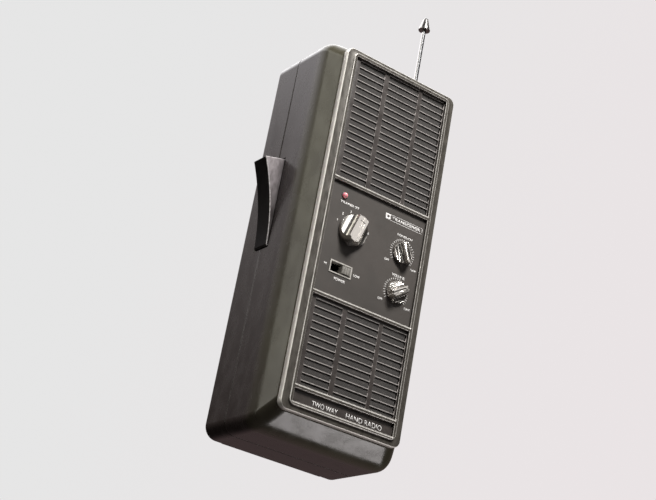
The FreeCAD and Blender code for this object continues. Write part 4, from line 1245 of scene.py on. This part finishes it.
def make_strip_legends():
    """The two generic words on the strip at the foot of the bezel."""
    bm = bmesh.new()
    middle_z = (strip_low.z + strip_high.z) / 2 - 1.0
    add_text(bm, "TWO WAY", -10.8, middle_z, 2.7, 15.2, 0.0)
    add_text(bm, "HAND RADIO", 12.9, middle_z, 2.7, 21.9, 0.0)
    place(object_from(bm, "strip_legends"), "print_white", "case")


# ======== carried-over CAD nodes

def finish_cad_nodes():
    """Give every CAD node the finish of its slot."""
    for node, piece in frame["nodes"].items():
        piece.data.materials.clear()
        piece.data.materials.append(finishes[slots[node]])


# ======== staging

def add_area(name, place_at, target, size, power, colour=(1.0, 1.0, 1.0)):
    """A large soft lamp that the camera does not see directly."""
    data = bpy.data.lights.new(name, "AREA")
    data.shape = "RECTANGLE"
    data.size, data.size_y = size
    data.energy = power
    data.color = colour
    lamp = bpy.data.objects.new(name, data)
    lamp.location = place_at
    lamp.rotation_euler = (Vector(target) - Vector(place_at)).to_track_quat("-Z", "Y").to_euler()
    lamp.visible_camera = False
    scene.collection.objects.link(lamp)
    return lamp


def make_lights():
    """A key from above in front, and faint cards at the left, below, in front and before the antenna."""
    middle = (0.0, -0.02, 0.11)
    add_area("key", (0.0, -0.62, 0.86), middle, (0.34, 0.26), 15.0, (1.0, 0.985, 0.965))
    add_area("left_card", (-0.66, -0.02, 0.36), (-0.04, 0.0, 0.1), (0.16, 0.80), 0.95, (1.0, 0.975, 0.87))
    add_area("low_card", (0.27, -0.19, -0.46), (0.02, -0.03, 0.02), (0.30, 0.18), 1.0, (1.0, 0.95, 0.95))
    add_area("mast_card", (-0.335, -0.605, 0.76), (0.03, 0.0, 0.25), (0.12, 0.42), 0.63)
    add_area("front_card", (0.30, -0.50, 0.32), (0.0, -0.02, 0.12), (0.16, 0.2), 0.12, (1.0, 0.97, 0.95))


def make_world():
    """A pale backdrop for the camera. What the object reflects is dark in front and below."""
    world = bpy.data.worlds.new("studio")
    scene.world = world
    world.use_nodes = True
    graph = Graph(world.node_tree)
    where = graph.split(graph.nodes.new("ShaderNodeTexCoord").outputs["Generated"])

    def ramp(axis, low, high, first, second):
        """A change from one colour to another along an axis of the direction looked in."""
        return graph.blend(graph.span(where[axis], low, high), first, second)

    low_band = ramp("Z", 0.22, 0.42, (0.10, 0.080, 0.072), (0.56, 0.51, 0.50))
    middle_band = ramp("Z", 0.40, 0.53, low_band, (1.75, 1.68, 1.72))
    high = ramp("Z", 0.53, 0.68, middle_band, (3.6, 3.55, 3.6))
    above = ramp("Y", 0.05, 0.6, (0.030, 0.028, 0.027), high)
    low_right = ramp("X", -0.1, 0.4, (0.012, 0.011, 0.010), (0.15, 0.105, 0.105))
    below = ramp("Y", 0.05, 0.6, (0.012, 0.011, 0.010), low_right)
    upward = ramp("Z", -0.25, 0.15, below, above)
    backdrop = ramp("X", 0.3, 0.7, (0.79, 0.79, 0.79), (0.82, 0.775, 0.785))
    path = graph.nodes.new("ShaderNodeLightPath")
    chosen = graph.blend(path.outputs["Is Camera Ray"], upward, backdrop)
    graph.feed(graph.nodes["Background"].inputs["Color"], chosen)


def make_floor():
    """A plain pale floor just under the base. It faces upwards, so it is seen from above only."""
    bm = bmesh.new()
    reach = 4000.0
    for degrees in range(0, 360, 5):
        angle = math.radians(degrees)
        bm.verts.new((reach * math.cos(angle), reach * math.sin(angle), floor_z))
    bm.faces.new(bm.verts)
    floor = object_from(bm, "floor")
    material = bpy.data.materials.new("pale_floor")
    material.use_nodes = True
    graph = Graph(material.node_tree)
    paint = graph.nodes["Principled BSDF"]
    paint.inputs["Base Color"].default_value = (0.78, 0.78, 0.78, 1.0)
    paint.inputs["Roughness"].default_value = 0.8
    clear = graph.nodes.new("ShaderNodeBsdfTransparent")
    mixed = graph.nodes.new("ShaderNodeMixShader")
    geometry = graph.nodes.new("ShaderNodeNewGeometry")
    graph.feed(mixed.inputs[0], geometry.outputs["Backfacing"])
    graph.feed(mixed.inputs[1], paint.outputs[0])
    graph.feed(mixed.inputs[2], clear.outputs[0])
    graph.feed(graph.nodes["Material Output"].inputs["Surface"], mixed.outputs[0])
    floor.data.materials.append(material)
    floor.visible_shadow = False
    floor.visible_glossy = False
    floor.visible_diffuse = False


floor_z = -0.6

camera_azimuth = -31.011
camera_elevation = -22.035
camera_roll = -10.685
camera_distance = 720.94
camera_target = Vector((-25.44, -31.0, 94.93))
camera_lens = 79.63


def make_camera():
    """The camera: low and to the left of the object, tilted and looking up at it."""
    azimuth = math.radians(camera_azimuth)
    elevation = math.radians(camera_elevation)
    back = Vector((
        math.sin(azimuth) * math.cos(elevation),
        -math.cos(azimuth) * math.cos(elevation),
        math.sin(elevation),
    ))
    data = bpy.data.cameras.new("camera")
    data.lens = camera_lens
    data.sensor_width = 36.0
    data.clip_start = 0.01
    data.clip_end = 50.0
    camera = bpy.data.objects.new("camera", data)
    camera.location = (camera_target + back * camera_distance) * MM
    level = (-back).to_track_quat("-Z", "Y")
    roll = Matrix.Rotation(math.radians(camera_roll), 4, -back)
    camera.matrix_world = Matrix.Translation(camera.location) @ (roll @ level.to_matrix().to_4x4())
    scene.collection.objects.link(camera)
    scene.camera = camera


# ======== build

finish_cad_nodes()
make_front_case()
make_rear_case()
make_battery_door()
make_bezel()
make_grille("upper_louvres", "upper_grille", upper_low, upper_high, upper_ribs)
make_grille("lower_louvres", "lower_grille", lower_low, lower_high, lower_ribs)
make_cloth("speaker_pad", "speaker_cloth")
make_cloth("microphone_pad", "microphone_cloth")
make_knob("channel_pointer", "channel_knob", "channel_shaft", 8.3, 6.2, 5.8, 18.0, "channel_selector", 2.0)
make_knob("squelch_pointer", "squelch_knob", "squelch_shaft", 5.9, 4.8, 3.1, -25.0, "squelch_selector", 1.6)
make_knob("volume_pointer", "volume_knob", "volume_shaft", 5.9, 4.8, 3.1, 56.0, "volume_selector", 1.6)
make_slider()
make_lamp()
make_lever()
make_spring()
make_tip()
make_bush()
make_panel_legends()
make_strip_legends()
make_world()
make_lights()
make_floor()
make_camera()
scene.view_settings.view_transform = "Standard"
